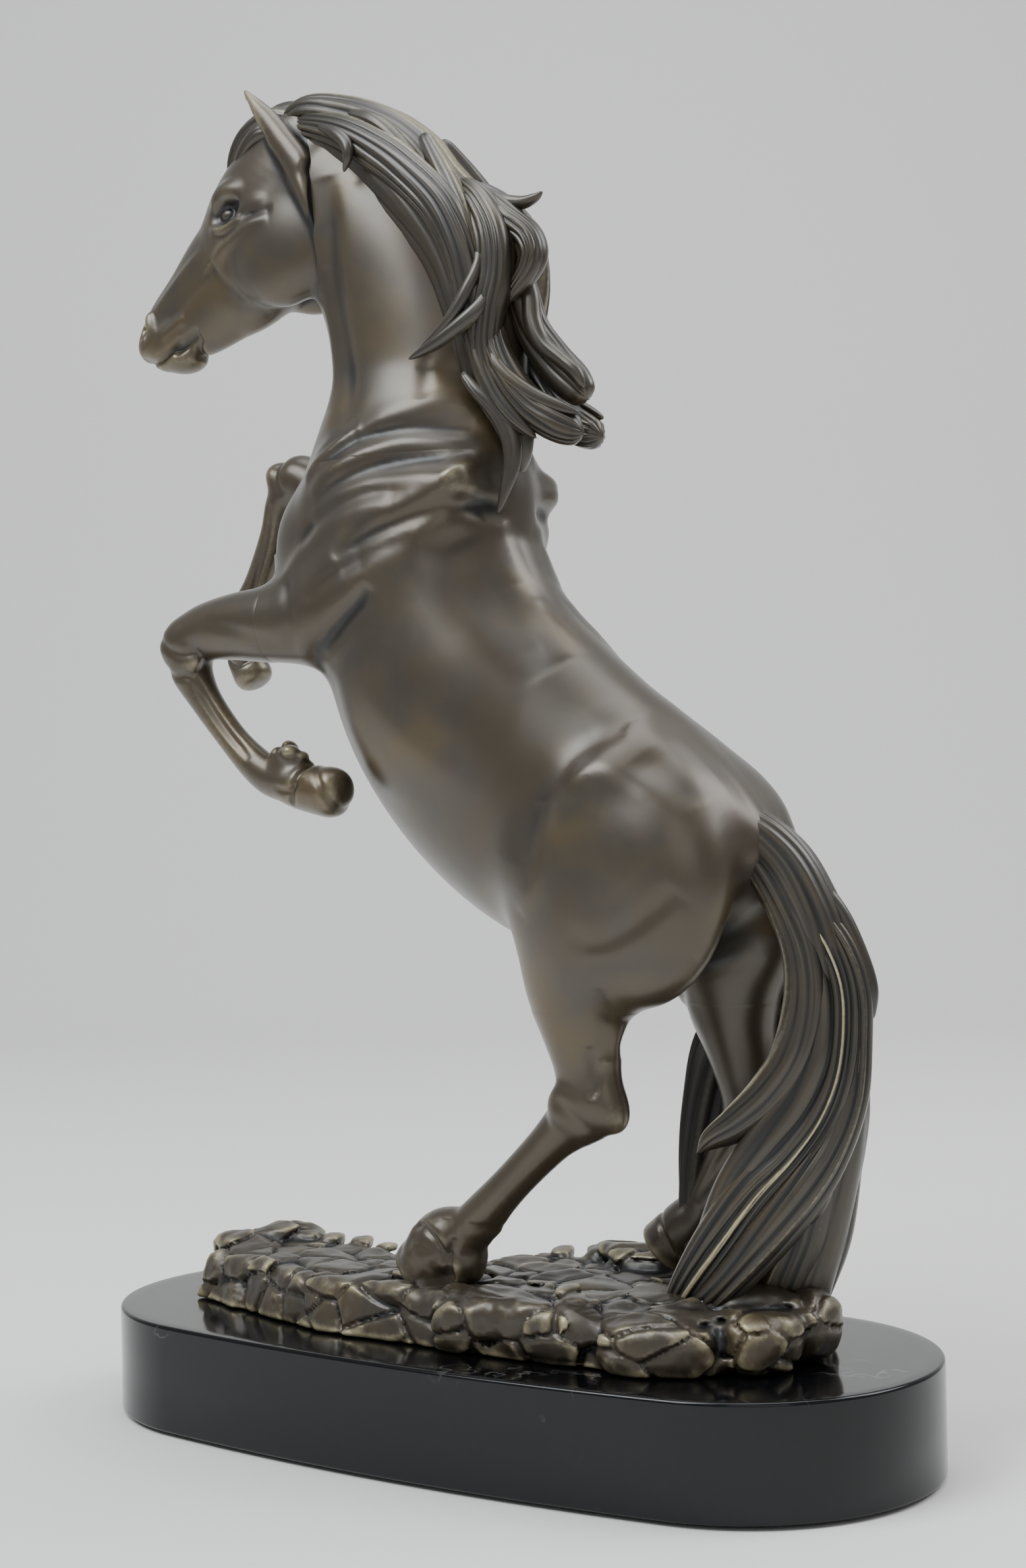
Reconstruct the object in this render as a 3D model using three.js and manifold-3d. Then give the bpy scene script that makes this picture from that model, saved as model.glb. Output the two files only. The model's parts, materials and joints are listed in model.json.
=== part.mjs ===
// A rearing horse in cast bronze on a black marble base, in millimetres with +Z up.
// The origin is the middle of the underside, and the horse faces -X.
// The horse is hollow lost-wax work in several castings that are pinned, welded and chased.
import * as THREE from "three";
import { mergeVertices } from "three/addons/utils/BufferGeometryUtils.js";
import Module from "manifold-3d";

const wasm = await Module();
wasm.setup();

// Driving dimensions.
const BASE_HALF_LENGTH = 127;
const BASE_HALF_WIDTH = 57.7;
const BASE_END_RADIUS = 53;
const BASE_TOP = 31;
const BASE_CHAMFER = 1;
const FELT_THICKNESS = 0.8;
const FELT_INSET = 4;
const GAP = 0.3;
const WALL = 4;
const DECK = 46;
const STUD_RADIUS = 3;
const STUDS = [
  { end: "front", x: -60, y: -8 },
  { end: "rear", x: 52, y: -12 },
];
const PIN_RADIUS = 1.8;
const PINS = [
  { name: "left_hoof_pin", x: -17, y: -15, top: 54 },
  { name: "right_hoof_pin", x: 43, y: 22, top: 57 },
  { name: "tail_pin", x: 76, y: 0, top: 56 },
];

// The horse's castings as tapered tubes. Each station is the middle of a section and its two
// half sizes: x, y, z, half depth, half width.
const BARREL = [
  [78, 0, 160, 10, 12],
  [61, 0, 163, 26, 25],
  [41, 0, 167.5, 36.5, 30.5],
  [23, 0, 176, 40, 31],
  [6, 0, 189.5, 40.5, 33],
  [-8, 0, 205.5, 39, 34],
  [-17.5, 0, 224, 37, 33],
  [-25, 0, 242, 38, 31],
  [-26, 0, 260, 38, 28],
  [-23, 0, 278, 33, 22],
  [-24, 0, 292, 26, 18],
];
const NECK = [
  [-26, 0, 262, 32, 25],
  [-25, 0, 279, 30, 22],
  [-26, 0, 297, 28, 18],
  [-30, 0, 314, 26, 16],
  [-38, 0, 331, 25, 15],
  [-50, 0, 346, 24, 14],
  [-64, 0, 357, 20, 13],
  [-74, 0, 360, 12, 10],
];
const HEAD = [
  [-57, 0, 372, 7, 8],
  [-64, 0, 368, 14, 11],
  [-71, 0, 358, 21, 13],
  [-79, 0, 347, 23.5, 13.5],
  [-88, 0, 338, 21.5, 11.5],
  [-96, 0, 333, 19, 9.5],
  [-104, 0, 328, 16.5, 8.2],
  [-112, 0, 323, 13.5, 7.6],
  [-119, 0, 318.5, 11, 7.8],
  [-124, 0, 316, 6.5, 5.5],
];
const LEFT_EAR = [
  [-63, -8, 368, 5, 4],
  [-69, -9, 376, 5.5, 3.5],
  [-75, -9, 381, 3.5, 2.5],
  [-79, -8.5, 385, 0.8, 0.8],
];
const RIGHT_EAR = [
  [-64, 8, 366, 5, 4],
  [-73, 11, 372, 5.5, 3.5],
  [-81, 13, 374, 3.5, 2.5],
  [-88, 14, 374, 0.8, 0.8],
];
const FORELOCK = [
  [-68, 2, 378, 3, 4],
  [-78, 4, 375.5, 5, 5],
  [-87, 5, 368, 4.5, 5],
  [-92.5, 5, 358, 2.5, 3],
  [-95, 5, 350, 0.8, 1],
];
const CREST = [
  [-64, 0, 375, 3, 4],
  [-50, 0, 371, 7, 9],
  [-33, 0, 360.5, 9, 11],
  [-19, 0, 347, 10, 12],
  [-6, 0, 331, 12, 12],
  [3, 0, 313, 13, 12],
  [7, 0, 292, 12, 12],
  [9, 0, 276, 9, 10],
  [13, 0, 258, 3, 5],
];
const LOCKS = [
  [
    [-4, -1, 346, 9, 7],
    [6, -2, 341, 6, 5],
    [13, -2, 341, 3.5, 3.5],
    [18, -2, 343, 1, 1],
  ],
  [
    [6, 0, 337, 8, 7],
    [15, -1, 331, 6, 5],
    [14, -2, 318, 5, 5],
    [10, -2, 306, 3, 3],
  ],
  [
    [6, -1, 318, 8, 6],
    [14, -2, 302, 7, 6],
    [23, -3, 291, 5.5, 6],
    [30, -4, 286, 4, 5],
  ],
  [
    [7, -1, 298, 9, 7],
    [14, -3, 286, 7, 6],
    [24, -4, 278, 5.5, 6],
    [32, -5, 276, 2.5, 3],
  ],
];
const LEFT_ARM = [
  [-26, -18, 236, 17, 12],
  [-42, -22, 229, 13.5, 11],
  [-58, -24, 228, 11.5, 9.5],
  [-73, -24, 228, 10, 8.5],
  [-86, -24, 226, 8.5, 7.5],
  [-94, -24, 222, 6, 6],
];
const LEFT_SHIN = [
  [-91, -24, 227, 5, 6],
  [-92, -24, 219, 7.5, 7],
  [-86, -24, 207, 5, 5],
  [-75, -24, 195, 4.8, 4.6],
  [-65, -24, 187, 5.5, 5],
  [-57, -24, 184, 5.5, 5.5],
];
const LEFT_FORE_HOOF = [
  [-60, -24, 185, 5, 5],
  [-52, -24, 182.5, 6, 5.5],
  [-44, -24, 180, 7.2, 6.5],
  [-36, -24, 178.5, 7, 7],
];
const RIGHT_ARM = [
  [-34, 18, 240, 17, 12],
  [-50, 21, 249, 13, 11],
  [-66, 23, 260, 11, 9],
  [-80, 24, 271, 9, 8],
  [-91, 24, 277, 6, 6],
];
const RIGHT_SHIN = [
  [-87, 24, 279, 5, 6],
  [-93, 24, 273, 7, 7],
  [-98, 24, 260, 5, 5],
  [-105, 24, 245, 4.8, 4.6],
  [-111, 24, 236, 5.5, 5],
  [-113.5, 24, 230, 5, 5],
];
const RIGHT_FORE_HOOF = [
  [-113.5, 24, 232, 5, 5],
  [-114, 24, 227, 5.3, 5.3],
  [-112, 24, 222.5, 6, 6.2],
  [-107.5, 24, 216, 6.2, 6.4],
];
const LEFT_THIGH = [
  [50, -12, 178, 18, 12],
  [55, -17, 164, 31, 15],
  [55, -19, 150, 34.5, 15],
  [50, -19, 138, 28, 13],
  [44, -18, 126, 17, 10.5],
  [40, -17, 116, 11.5, 8.5],
  [40, -17, 106, 9.5, 7.5],
  [40, -17, 97, 10, 7.5],
  [38, -17, 91, 7, 6],
];
const LEFT_CANNON = [
  [46, -17, 98, 5, 5],
  [36, -17, 92, 8, 6.5],
  [26, -17, 83, 6.6, 6],
  [14, -17, 72, 6, 5.8],
  [3, -16, 62, 6.6, 6.5],
  [-4, -16, 56, 6, 6.3],
];
const LEFT_HIND_HOOF = [
  [-3, -16, 60, 6, 6],
  [-10, -15.5, 56, 8, 7.5],
  [-17, -15, 47.5, 11, 9.5],
];
const RIGHT_THIGH = [
  [50, 12, 176, 18, 12],
  [56, 16, 163, 27, 15],
  [58, 18, 150, 29, 15],
  [60, 20, 138, 24, 12],
  [61, 21, 125, 16, 10],
  [62, 22, 113, 11, 8.5],
  [65, 22, 101, 9.5, 7.5],
  [67, 22, 92, 8, 7],
];
const RIGHT_CANNON = [
  [73, 22, 96, 5, 5],
  [64, 22, 86, 8, 6.5],
  [57, 22, 74, 6.5, 5.8],
  [52, 22, 66, 7, 6.5],
  [48, 22, 61, 6.5, 6.3],
];
const RIGHT_HIND_HOOF = [
  [51, 22, 63, 6, 6],
  [46, 22, 58, 7.5, 7],
  [41, 22, 52, 9, 9],
];
// The tail hangs as two broad falls of hair, each nearly flat, that face behind and to the left.
const TAIL_ACROSS = new THREE.Vector3(0.82, 0.57, 0);
const TAIL_NEAR = [
  [76, 0, 166, 7, 7],
  [85, 3, 159, 8, 8.5],
  [91, 7, 148, 8.5, 9.5],
  [95, 10, 135, 9, 10],
  [96, 11, 122, 9, 11.5],
  [93.5, 10, 108, 8, 14],
  [89.5, 7, 92, 7, 17.5],
  [84, 4, 75, 7, 19],
  [78, 0, 58, 7, 19],
  [75, -1, 43, 6, 18],
];
const TAIL_LOCK = [
  [93, 7, 122, 5, 5],
  [88, 4, 108, 5, 6],
  [79, -1, 98, 4.5, 5],
  [71, -6, 90, 2.5, 3],
  [68, -8, 84, 0.8, 0.8],
];
const TAIL_FAR = [
  [92, 9, 150, 5, 7],
  [92, 19, 140, 5, 10],
  [84, 26, 129, 4.5, 15],
  [72, 30, 116, 4, 20],
  [65.5, 29, 103, 4, 21],
  [64.5, 28, 80, 4, 21],
  [64, 27, 49, 4, 21],
];
// The ground casting's plan, anticlockwise from its rear end.
const GROUND_PLAN = [
  [98, 12],
  [92, 25],
  [73, 34],
  [48, 37],
  [20, 38],
  [-8, 34],
  [-24, 22],
  [-48, 18],
  [-80, 15],
  [-98, 9],
  [-103, -5],
  [-99, -20],
  [-74, -30],
  [-38, -38],
  [-8, -41],
  [16, -39],
  [40, -40],
  [62, -37],
  [81, -30],
  [92, -18],
  [95.5, -4],
];

// Solid helpers.

/** A solid that can be joined and cut, from a closed geometry. */
function toSolid(geometry) {
  const bare = geometry.clone();
  bare.deleteAttribute("normal");
  bare.deleteAttribute("uv");
  const merged = mergeVertices(bare, 1e-4);
  return new wasm.Manifold(
    new wasm.Mesh({
      numProp: 3,
      vertProperties: merged.attributes.position.array,
      triVerts: new Uint32Array(merged.index.array),
    }),
  );
}

/** A geometry again, from a solid. */
function toGeometry(solid) {
  const { vertProperties, triVerts, numProp, numVert } = solid.getMesh();
  const position = new Float32Array(numVert * 3);
  for (let i = 0; i < numVert; i++) {
    position.set(vertProperties.subarray(i * numProp, i * numProp + 3), i * 3);
  }
  return new THREE.BufferGeometry()
    .setAttribute("position", new THREE.BufferAttribute(position, 3))
    .setIndex(new THREE.BufferAttribute(triVerts, 1));
}

const join = (solids) => solids.reduce((whole, next) => whole.add(next));
const cut = (solid, tools) => tools.reduce((rest, tool) => rest.subtract(tool), solid);

/** A closed tube of elliptical sections on a smooth spine through the stations. */
function loft(stations, { grow = 0, sides = 14, across = new THREE.Vector3(0, 1, 0) } = {}) {
  const rings = 2;
  const spine = new THREE.CatmullRomCurve3(
    stations.map(([x, y, z]) => new THREE.Vector3(x, y, z)),
    false,
    "catmullrom",
  );
  const sizes = new THREE.CatmullRomCurve3(
    stations.map(([, , , deep, wide]) => new THREE.Vector3(deep + grow, wide + grow, 0)),
    false,
    "catmullrom",
  );
  const count = rings * (stations.length - 1);
  const points = [];
  for (let i = 0; i <= count; i++) {
    const tangent = spine.getTangent(i / count);
    const side = across.clone().addScaledVector(tangent, -across.dot(tangent)).normalize();
    const deep = new THREE.Vector3().crossVectors(side, tangent);
    const middle = spine.getPoint(i / count);
    const size = sizes.getPoint(i / count);
    for (let j = 0; j < sides; j++) {
      const angle = (2 * Math.PI * j) / sides;
      const point = middle
        .clone()
        .addScaledVector(deep, size.x * Math.cos(angle))
        .addScaledVector(side, size.y * Math.sin(angle));
      points.push(point);
    }
  }
  return closedGrid(points, count + 1, sides);
}

/** Rings of points, each with the same number of points, skinned and closed at both ends. */
function closedGrid(points, rings, sides) {
  const faces = [];
  for (let i = 0; i < rings - 1; i++) {
    for (let j = 0; j < sides; j++) {
      const next = (j + 1) % sides;
      const [a, b] = [i * sides + j, i * sides + next];
      faces.push(a, b, b + sides, a, b + sides, a + sides);
    }
  }
  const middle = (first) => {
    const sum = points
      .slice(first, first + sides)
      .reduce((total, point) => total.add(point), new THREE.Vector3());
    return sum.divideScalar(sides);
  };
  const last = (rings - 1) * sides;
  const caps = [middle(0), middle(last)];
  for (let j = 0; j < sides; j++) {
    const next = (j + 1) % sides;
    faces.push(points.length, next, j, points.length + 1, last + j, last + next);
  }
  const geometry = new THREE.BufferGeometry().setFromPoints([...points, ...caps]);
  geometry.setIndex(faces);
  return toSolid(geometry);
}

/** An upright round bar between two heights. */
function bar(radius, x, y, from, to, sides = 14) {
  const geometry = new THREE.CylinderGeometry(radius, radius, to - from, sides);
  geometry.rotateX(Math.PI / 2);
  geometry.translate(x, y, (from + to) / 2);
  return toSolid(geometry);
}

/** Everything past a plane: a block that starts half a gap before the point and lies along the normal. */
function beyond(point, normal) {
  const size = 400;
  const geometry = new THREE.BoxGeometry(size, size, size);
  geometry.translate(0, 0, size / 2 - GAP / 2);
  const up = new THREE.Vector3(0, 0, 1);
  const turn = new THREE.Quaternion().setFromUnitVectors(up, normal.clone().normalize());
  geometry.applyQuaternion(turn);
  geometry.translate(point.x, point.y, point.z);
  return toSolid(geometry);
}

/** The part of a solid on the normal's side of a seam, or on its other side. */
function afterSeam(solid, seam) {
  return solid.subtract(beyond(seam.point, seam.normal.clone().negate()));
}
function beforeSeam(solid, seam) {
  return solid.subtract(beyond(seam.point, seam.normal));
}

/** A four-arc oval, its ends round and its sides long flat bows, pulled in by an inset. */
function ovalShape(inset) {
  const length = BASE_HALF_LENGTH - inset;
  const width = BASE_HALF_WIDTH - inset;
  const end = BASE_END_RADIUS - inset;
  const reach = length - end;
  const side = (reach * reach + width * width - end * end) / (2 * (width - end));
  const meet = Math.atan2(side - width, reach);
  const shape = new THREE.Shape();
  shape.absarc(reach, 0, end, -meet, meet, false);
  shape.absarc(0, width - side, side, meet, Math.PI - meet, false);
  shape.absarc(-reach, 0, end, Math.PI - meet, Math.PI + meet, false);
  shape.absarc(0, side - width, side, Math.PI + meet, 2 * Math.PI - meet, false);
  return shape;
}

/** A plate of the oval between two heights, with its edges chamfered. */
function ovalPlate(inset, from, to, chamfer) {
  const geometry = new THREE.ExtrudeGeometry(ovalShape(inset), {
    depth: to - from - 2 * chamfer,
    curveSegments: 9,
    bevelEnabled: chamfer > 0,
    bevelThickness: chamfer,
    bevelSize: chamfer,
    bevelOffset: -chamfer,
    bevelSegments: 1,
  });
  geometry.translate(0, 0, from + chamfer);
  return toSolid(geometry);
}

// The base.

const BORE = STUD_RADIUS + 1;
const RECESS_RADIUS = 11;
const RECESS_TOP = 10;

function marbleBase() {
  const block = ovalPlate(0, FELT_THICKNESS + GAP, BASE_TOP, BASE_CHAMFER);
  const holes = STUDS.flatMap(({ x, y }) => [
    bar(BORE, x, y, 0, BASE_TOP + 1),
    bar(RECESS_RADIUS, x, y, 0, RECESS_TOP),
  ]);
  return cut(block, holes);
}

/** The stud, its washer and its nut, stacked in the recess under the base. */
function stud({ x, y }) {
  return bar(STUD_RADIUS, x, y, 2, BASE_TOP + 9);
}
function washer({ x, y }) {
  const top = RECESS_TOP - GAP;
  return cut(bar(9, x, y, top - 1.2, top), [bar(STUD_RADIUS + GAP, x, y, 0, top + 1)]);
}
function nut({ x, y }) {
  const top = RECESS_TOP - 1.2 - 2 * GAP;
  return cut(bar(5.8, x, y, top - 5, top, 6), [bar(STUD_RADIUS + GAP, x, y, 0, top + 1)]);
}

/** The hind hooves, which stand in beds in the ground when they are grown by the gap. */
function hindHooves(grow) {
  return [loft(LEFT_HIND_HOOF, { grow }), loft(RIGHT_HIND_HOOF, { grow })];
}

/** The ground: a hollow casting with a rough deck, and bosses round the studs and the pins. */
function groundCasting() {
  const plan = new THREE.CatmullRomCurve3(
    GROUND_PLAN.map(([x, y]) => new THREE.Vector3(x, y, 0)),
    true,
  );
  const sides = 44;
  const foot = BASE_TOP + GAP;
  // Share of the plan and height, from the middle of the underside out, up and back in.
  const ledge = [
    [0.02, foot],
    [0.5, foot],
    [0.98, foot],
    [1, foot + 4],
    [0.98, 39],
    [0.93, 42.5],
    [0.84, DECK - 1],
    [0.6, DECK],
    [0.3, DECK],
    [0.02, DECK],
  ];
  const points = ledge.flatMap(([share, height], ring) =>
    Array.from({ length: sides }, (_, i) => {
      const point = plan.getPoint(i / sides).multiplyScalar(share);
      const rough = ring > 3 ? share * Math.sin(i * 1.7) * Math.cos(ring * 2.1 + i * 0.6) : 0;
      return point.setZ(height + rough);
    }),
  );
  const rock = closedGrid(points, ledge.length, sides);
  const hollowPlan = new THREE.Shape(
    plan.getPoints(sides).map(({ x, y }) => new THREE.Vector2(x * 0.88, y * 0.84)),
  );
  const hollow = new THREE.ExtrudeGeometry(hollowPlan, { depth: 9, bevelEnabled: false });
  hollow.translate(0, 0, foot - 1);
  const bosses = [
    ...STUDS.map(({ x, y }) => bar(8, x, y, foot, DECK - 3)),
    ...PINS.map(({ x, y }) => bar(6, x, y, foot, DECK - 3)),
  ];
  const holes = [
    ...STUDS.map(({ x, y }) => bar(STUD_RADIUS + GAP, x, y, 0, BASE_TOP + 10)),
    ...PINS.map(({ x, y }) => bar(PIN_RADIUS + GAP, x, y, BASE_TOP + 5, 60, 16)),
  ];
  const falls = [TAIL_NEAR, TAIL_FAR].map((fall) => loft(fall, { grow: GAP, across: TAIL_ACROSS }));
  const shell = cut(rock, [toSolid(hollow)]);
  return cut(join([shell, ...bosses]), [...holes, ...hindHooves(GAP), ...falls]);
}

// The horse.

// Where the castings meet. The seam's normal points away from the barrel.
const SEAMS = {
  neck: { point: new THREE.Vector3(-24, 0, 272), normal: new THREE.Vector3(0, 0, 1) },
  throat: { point: new THREE.Vector3(-57, 0, 335), normal: new THREE.Vector3(-0.994, 0, -0.112) },
  leftArm: { point: new THREE.Vector3(-60, -24, 228), normal: new THREE.Vector3(-1, 0, 0) },
  rightArm: { point: new THREE.Vector3(-66, 23, 260), normal: new THREE.Vector3(-0.8, 0, 0.6) },
  leftGaskin: { point: new THREE.Vector3(41, -17, 120), normal: new THREE.Vector3(0, 0, -1) },
  rightGaskin: { point: new THREE.Vector3(61, 21, 120), normal: new THREE.Vector3(0, 0, -1) },
  dock: { point: new THREE.Vector3(81, 1, 163), normal: new THREE.Vector3(0.8, 0.3, -0.5) },
};

/** A round peg across a seam, longer on the barrel's side, and grown to make its socket. */
function spigot({ point, normal }, grow = 0) {
  const along = normal.clone().normalize();
  const from = point.clone().addScaledVector(along, -8 - grow);
  const to = point.clone().addScaledVector(along, 4);
  const geometry = new THREE.CylinderGeometry(3.5 + grow, 3.5 + grow, from.distanceTo(to), 16);
  const turn = new THREE.Quaternion().setFromUnitVectors(new THREE.Vector3(0, 1, 0), along);
  geometry.applyQuaternion(turn);
  const middle = from.add(to).divideScalar(2);
  geometry.translate(middle.x, middle.y, middle.z);
  return toSolid(geometry);
}

/** A run of stations made smaller all round, for the hollow inside a casting. */
const thinner = (stations) =>
  stations.map(([x, y, z, deep, wide]) => [x, y, z, Math.max(deep - WALL, 1), Math.max(wide - WALL, 1)]);

function torsoCasting() {
  const { neck, leftArm, rightArm, leftGaskin, rightGaskin, dock } = SEAMS;
  const limbs = [
    beforeSeam(loft(LEFT_ARM), leftArm),
    beforeSeam(loft(RIGHT_ARM), rightArm),
    beforeSeam(loft(LEFT_THIGH), leftGaskin),
    beforeSeam(loft(RIGHT_THIGH), rightGaskin),
    beforeSeam(loft(TAIL_NEAR, { across: TAIL_ACROSS }), dock),
  ];
  const barrel = loft(BARREL, { sides: 16 });
  const hollow = loft(thinner(BARREL.slice(2)), { sides: 16 });
  const sockets = [leftArm, rightArm, leftGaskin, rightGaskin].map((seam) => spigot(seam, GAP));
  const whole = join([barrel, loft(NECK, { sides: 16 }), ...limbs]);
  return cut(beforeSeam(whole, neck), [hollow, ...sockets]);
}

function neckCasting() {
  const { neck, throat } = SEAMS;
  const outside = join([loft(NECK, { sides: 16 }), loft(BARREL, { sides: 16 })]);
  const hollow = loft(thinner(NECK), { sides: 16 });
  return cut(beforeSeam(afterSeam(outside, neck), throat), [hollow]);
}

function headCasting() {
  const { throat } = SEAMS;
  const ears = [LEFT_EAR, RIGHT_EAR].map((ear) => loft(ear, { sides: 12 }));
  const whole = join([loft(HEAD), loft(NECK.slice(4)), ...ears]);
  const hollow = loft(thinner(HEAD.slice(0, 6)), { sides: 16 });
  return cut(afterSeam(whole, throat), [hollow]);
}

/** The solids that the hair lies on, grown by the gap. */
const underHair = () => [
  loft(NECK, { grow: GAP, sides: 16 }),
  loft(BARREL, { grow: GAP, sides: 16 }),
  loft(HEAD, { grow: GAP }),
  loft(LEFT_EAR, { grow: GAP, sides: 12 }),
  loft(RIGHT_EAR, { grow: GAP, sides: 12 }),
];

function maneCasting() {
  const crest = loft(CREST, { sides: 16 });
  const locks = LOCKS.map((lock) => loft(lock, { sides: 10 }));
  return cut(join([crest, ...locks]), underHair());
}

function forelockCasting() {
  return cut(loft(FORELOCK, { sides: 12 }), [...underHair(), loft(CREST, { grow: GAP, sides: 16 })]);
}

const leftForeleg = () => [
  afterSeam(loft(LEFT_ARM), SEAMS.leftArm),
  spigot(SEAMS.leftArm),
  loft(LEFT_SHIN, { sides: 12 }),
  loft(LEFT_FORE_HOOF, { sides: 12 }),
];
const rightForeleg = () => [
  afterSeam(loft(RIGHT_ARM), SEAMS.rightArm),
  spigot(SEAMS.rightArm),
  loft(RIGHT_SHIN, { sides: 12 }),
  loft(RIGHT_FORE_HOOF, { sides: 12 }),
];
const leftHindLeg = () => [
  afterSeam(loft(LEFT_THIGH), SEAMS.leftGaskin),
  spigot(SEAMS.leftGaskin),
  loft(LEFT_CANNON, { sides: 12 }),
  loft(LEFT_HIND_HOOF),
];
const rightHindLeg = (grow = 0) => [
  afterSeam(loft(RIGHT_THIGH, { grow }), SEAMS.rightGaskin),
  loft(RIGHT_CANNON, { grow, sides: 12 }),
  loft(RIGHT_HIND_HOOF, { grow }),
];

function pinHole({ x, y, top }) {
  return bar(PIN_RADIUS + GAP, x, y, BASE_TOP, top + GAP, 16);
}

function tailCasting() {
  const near = afterSeam(loft(TAIL_NEAR, { across: TAIL_ACROSS }), SEAMS.dock);
  const lock = loft(TAIL_LOCK, { across: TAIL_ACROSS, sides: 12 });
  const far = loft(TAIL_FAR, { across: TAIL_ACROSS });
  const neighbours = [
    loft(BARREL, { grow: GAP, sides: 16 }),
    loft(RIGHT_THIGH, { grow: GAP }),
    ...rightHindLeg(GAP),
    pinHole(PINS[2]),
  ];
  return cut(join([near, lock, far]), neighbours);
}

// The assembly.

/** A maker of fresh materials of one finish, since every mesh has its own. */
function finish(color, roughness, metalness) {
  return () => new THREE.MeshStandardMaterial({ color, roughness, metalness });
}
const bronze = finish(0x5a4c38, 0.38, 0.9);
const steel = finish(0x9a9a98, 0.4, 1);
const marble = finish(0x17181b, 0.12, 0);
const felt = finish(0x14231a, 0.95, 0);

const statue = new THREE.Group();

/** One named piece in the assembly. */
function place(name, solid, material) {
  const mesh = new THREE.Mesh(toGeometry(solid), material);
  mesh.name = name;
  statue.add(mesh);
}

place("felt_pad", ovalPlate(FELT_INSET, 0, FELT_THICKNESS, 0), felt());
place("marble_base", marbleBase(), marble());
for (const position of STUDS) {
  place(`${position.end}_stud`, stud(position), steel());
  place(`${position.end}_washer`, washer(position), steel());
  place(`${position.end}_nut`, nut(position), steel());
}
place("ground_casting", groundCasting(), bronze());
for (const pin of PINS) {
  place(pin.name, bar(PIN_RADIUS, pin.x, pin.y, BASE_TOP + 6, pin.top, 16), steel());
}
place("torso_casting", torsoCasting(), bronze());
place("neck_casting", neckCasting(), bronze());
place("head_casting", headCasting(), bronze());
place("mane_casting", maneCasting(), bronze());
place("forelock_casting", forelockCasting(), bronze());
place("left_foreleg_casting", join(leftForeleg()), bronze());
place("right_foreleg_casting", join(rightForeleg()), bronze());
place("left_hind_leg_casting", cut(join(leftHindLeg()), [pinHole(PINS[0])]), bronze());
const rightHind = join([...rightHindLeg(), spigot(SEAMS.rightGaskin)]);
place("right_hind_leg_casting", cut(rightHind, [pinHole(PINS[1])]), bronze());
place("tail_casting", tailCasting(), bronze());

export default statue;
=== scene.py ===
# %% [markdown]
# # A rearing bronze horse on a marble base
#
# The real statue is lost-wax work: a sculptor models clay, the clay is cast in bronze in several
# sections, the sections are welded and chased, and acids give the metal its brown skin.
# The lesson follows the same order. The muscles are first massed up as clay in a block of numbers,
# each casting is cut from the clay and skinned with faces, the hair is laid on lock by lock,
# and at last everything is given its patina. Lengths are in millimetres until a mesh is made.

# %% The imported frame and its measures
import json
import math
import time

import bpy
import numpy as np
from mathutils import Matrix, Vector

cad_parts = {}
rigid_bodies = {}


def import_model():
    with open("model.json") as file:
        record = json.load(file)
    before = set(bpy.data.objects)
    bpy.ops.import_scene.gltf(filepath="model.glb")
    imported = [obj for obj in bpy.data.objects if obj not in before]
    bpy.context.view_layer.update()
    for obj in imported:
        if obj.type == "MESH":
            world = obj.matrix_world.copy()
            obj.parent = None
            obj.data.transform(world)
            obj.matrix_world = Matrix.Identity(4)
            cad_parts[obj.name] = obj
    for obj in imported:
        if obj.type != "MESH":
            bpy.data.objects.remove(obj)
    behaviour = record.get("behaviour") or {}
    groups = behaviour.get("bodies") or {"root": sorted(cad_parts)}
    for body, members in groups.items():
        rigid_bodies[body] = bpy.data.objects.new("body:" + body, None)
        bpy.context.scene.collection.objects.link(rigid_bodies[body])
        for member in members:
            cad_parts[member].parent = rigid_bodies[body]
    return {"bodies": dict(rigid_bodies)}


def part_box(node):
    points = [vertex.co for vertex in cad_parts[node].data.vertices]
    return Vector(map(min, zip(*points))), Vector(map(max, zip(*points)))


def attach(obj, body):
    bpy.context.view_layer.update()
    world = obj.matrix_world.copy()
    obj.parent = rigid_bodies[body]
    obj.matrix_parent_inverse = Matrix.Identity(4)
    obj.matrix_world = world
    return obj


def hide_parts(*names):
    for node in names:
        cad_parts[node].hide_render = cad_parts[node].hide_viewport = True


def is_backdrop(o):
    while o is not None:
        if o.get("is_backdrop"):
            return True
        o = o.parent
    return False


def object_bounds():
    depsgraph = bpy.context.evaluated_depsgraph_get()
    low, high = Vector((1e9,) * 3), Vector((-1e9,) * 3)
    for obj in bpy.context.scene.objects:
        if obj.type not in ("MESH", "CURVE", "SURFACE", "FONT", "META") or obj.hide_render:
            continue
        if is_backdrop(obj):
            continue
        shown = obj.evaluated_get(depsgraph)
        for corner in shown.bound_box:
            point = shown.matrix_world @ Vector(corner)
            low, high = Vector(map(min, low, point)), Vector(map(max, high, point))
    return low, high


started = time.time()
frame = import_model()
cad_low, cad_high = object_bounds()
BODY = next(iter(frame["bodies"]))

base_low, base_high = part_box("marble_base")
BASE_LENGTH = 254.0
MM = (base_high.x - base_low.x) / BASE_LENGTH
BASE_WIDTH = (base_high.y - base_low.y) / MM
BASE_TOP = base_high.z / MM
BASE_FOOT = base_low.z / MM
print(f"a millimetre is {MM:.6f} m, and the marble runs from {BASE_FOOT:.1f} to {BASE_TOP:.1f} mm up")

# %% [markdown]
# ## Clay
#
# Clay is kept as a distance: at every point of an even block of points, how far the nearest surface
# is, negative inside. Two lumps are joined by taking the smaller distance, and a soft minimum rounds
# the join as a thumb would. This suits muscle far better than lofted sheets do, because legs, chest
# and neck run into one another with no edge between them.

# %% A block of clay
FAR = np.float32(40.0)  # the distance that an empty block holds
FAR_OFF = 999.0  # a corner beyond every block
REACH = 9.0  # how far from a lump its distance is worked out
FINE_REACH = 1.6  # the size of hollow that the fine mark looks for


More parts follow.
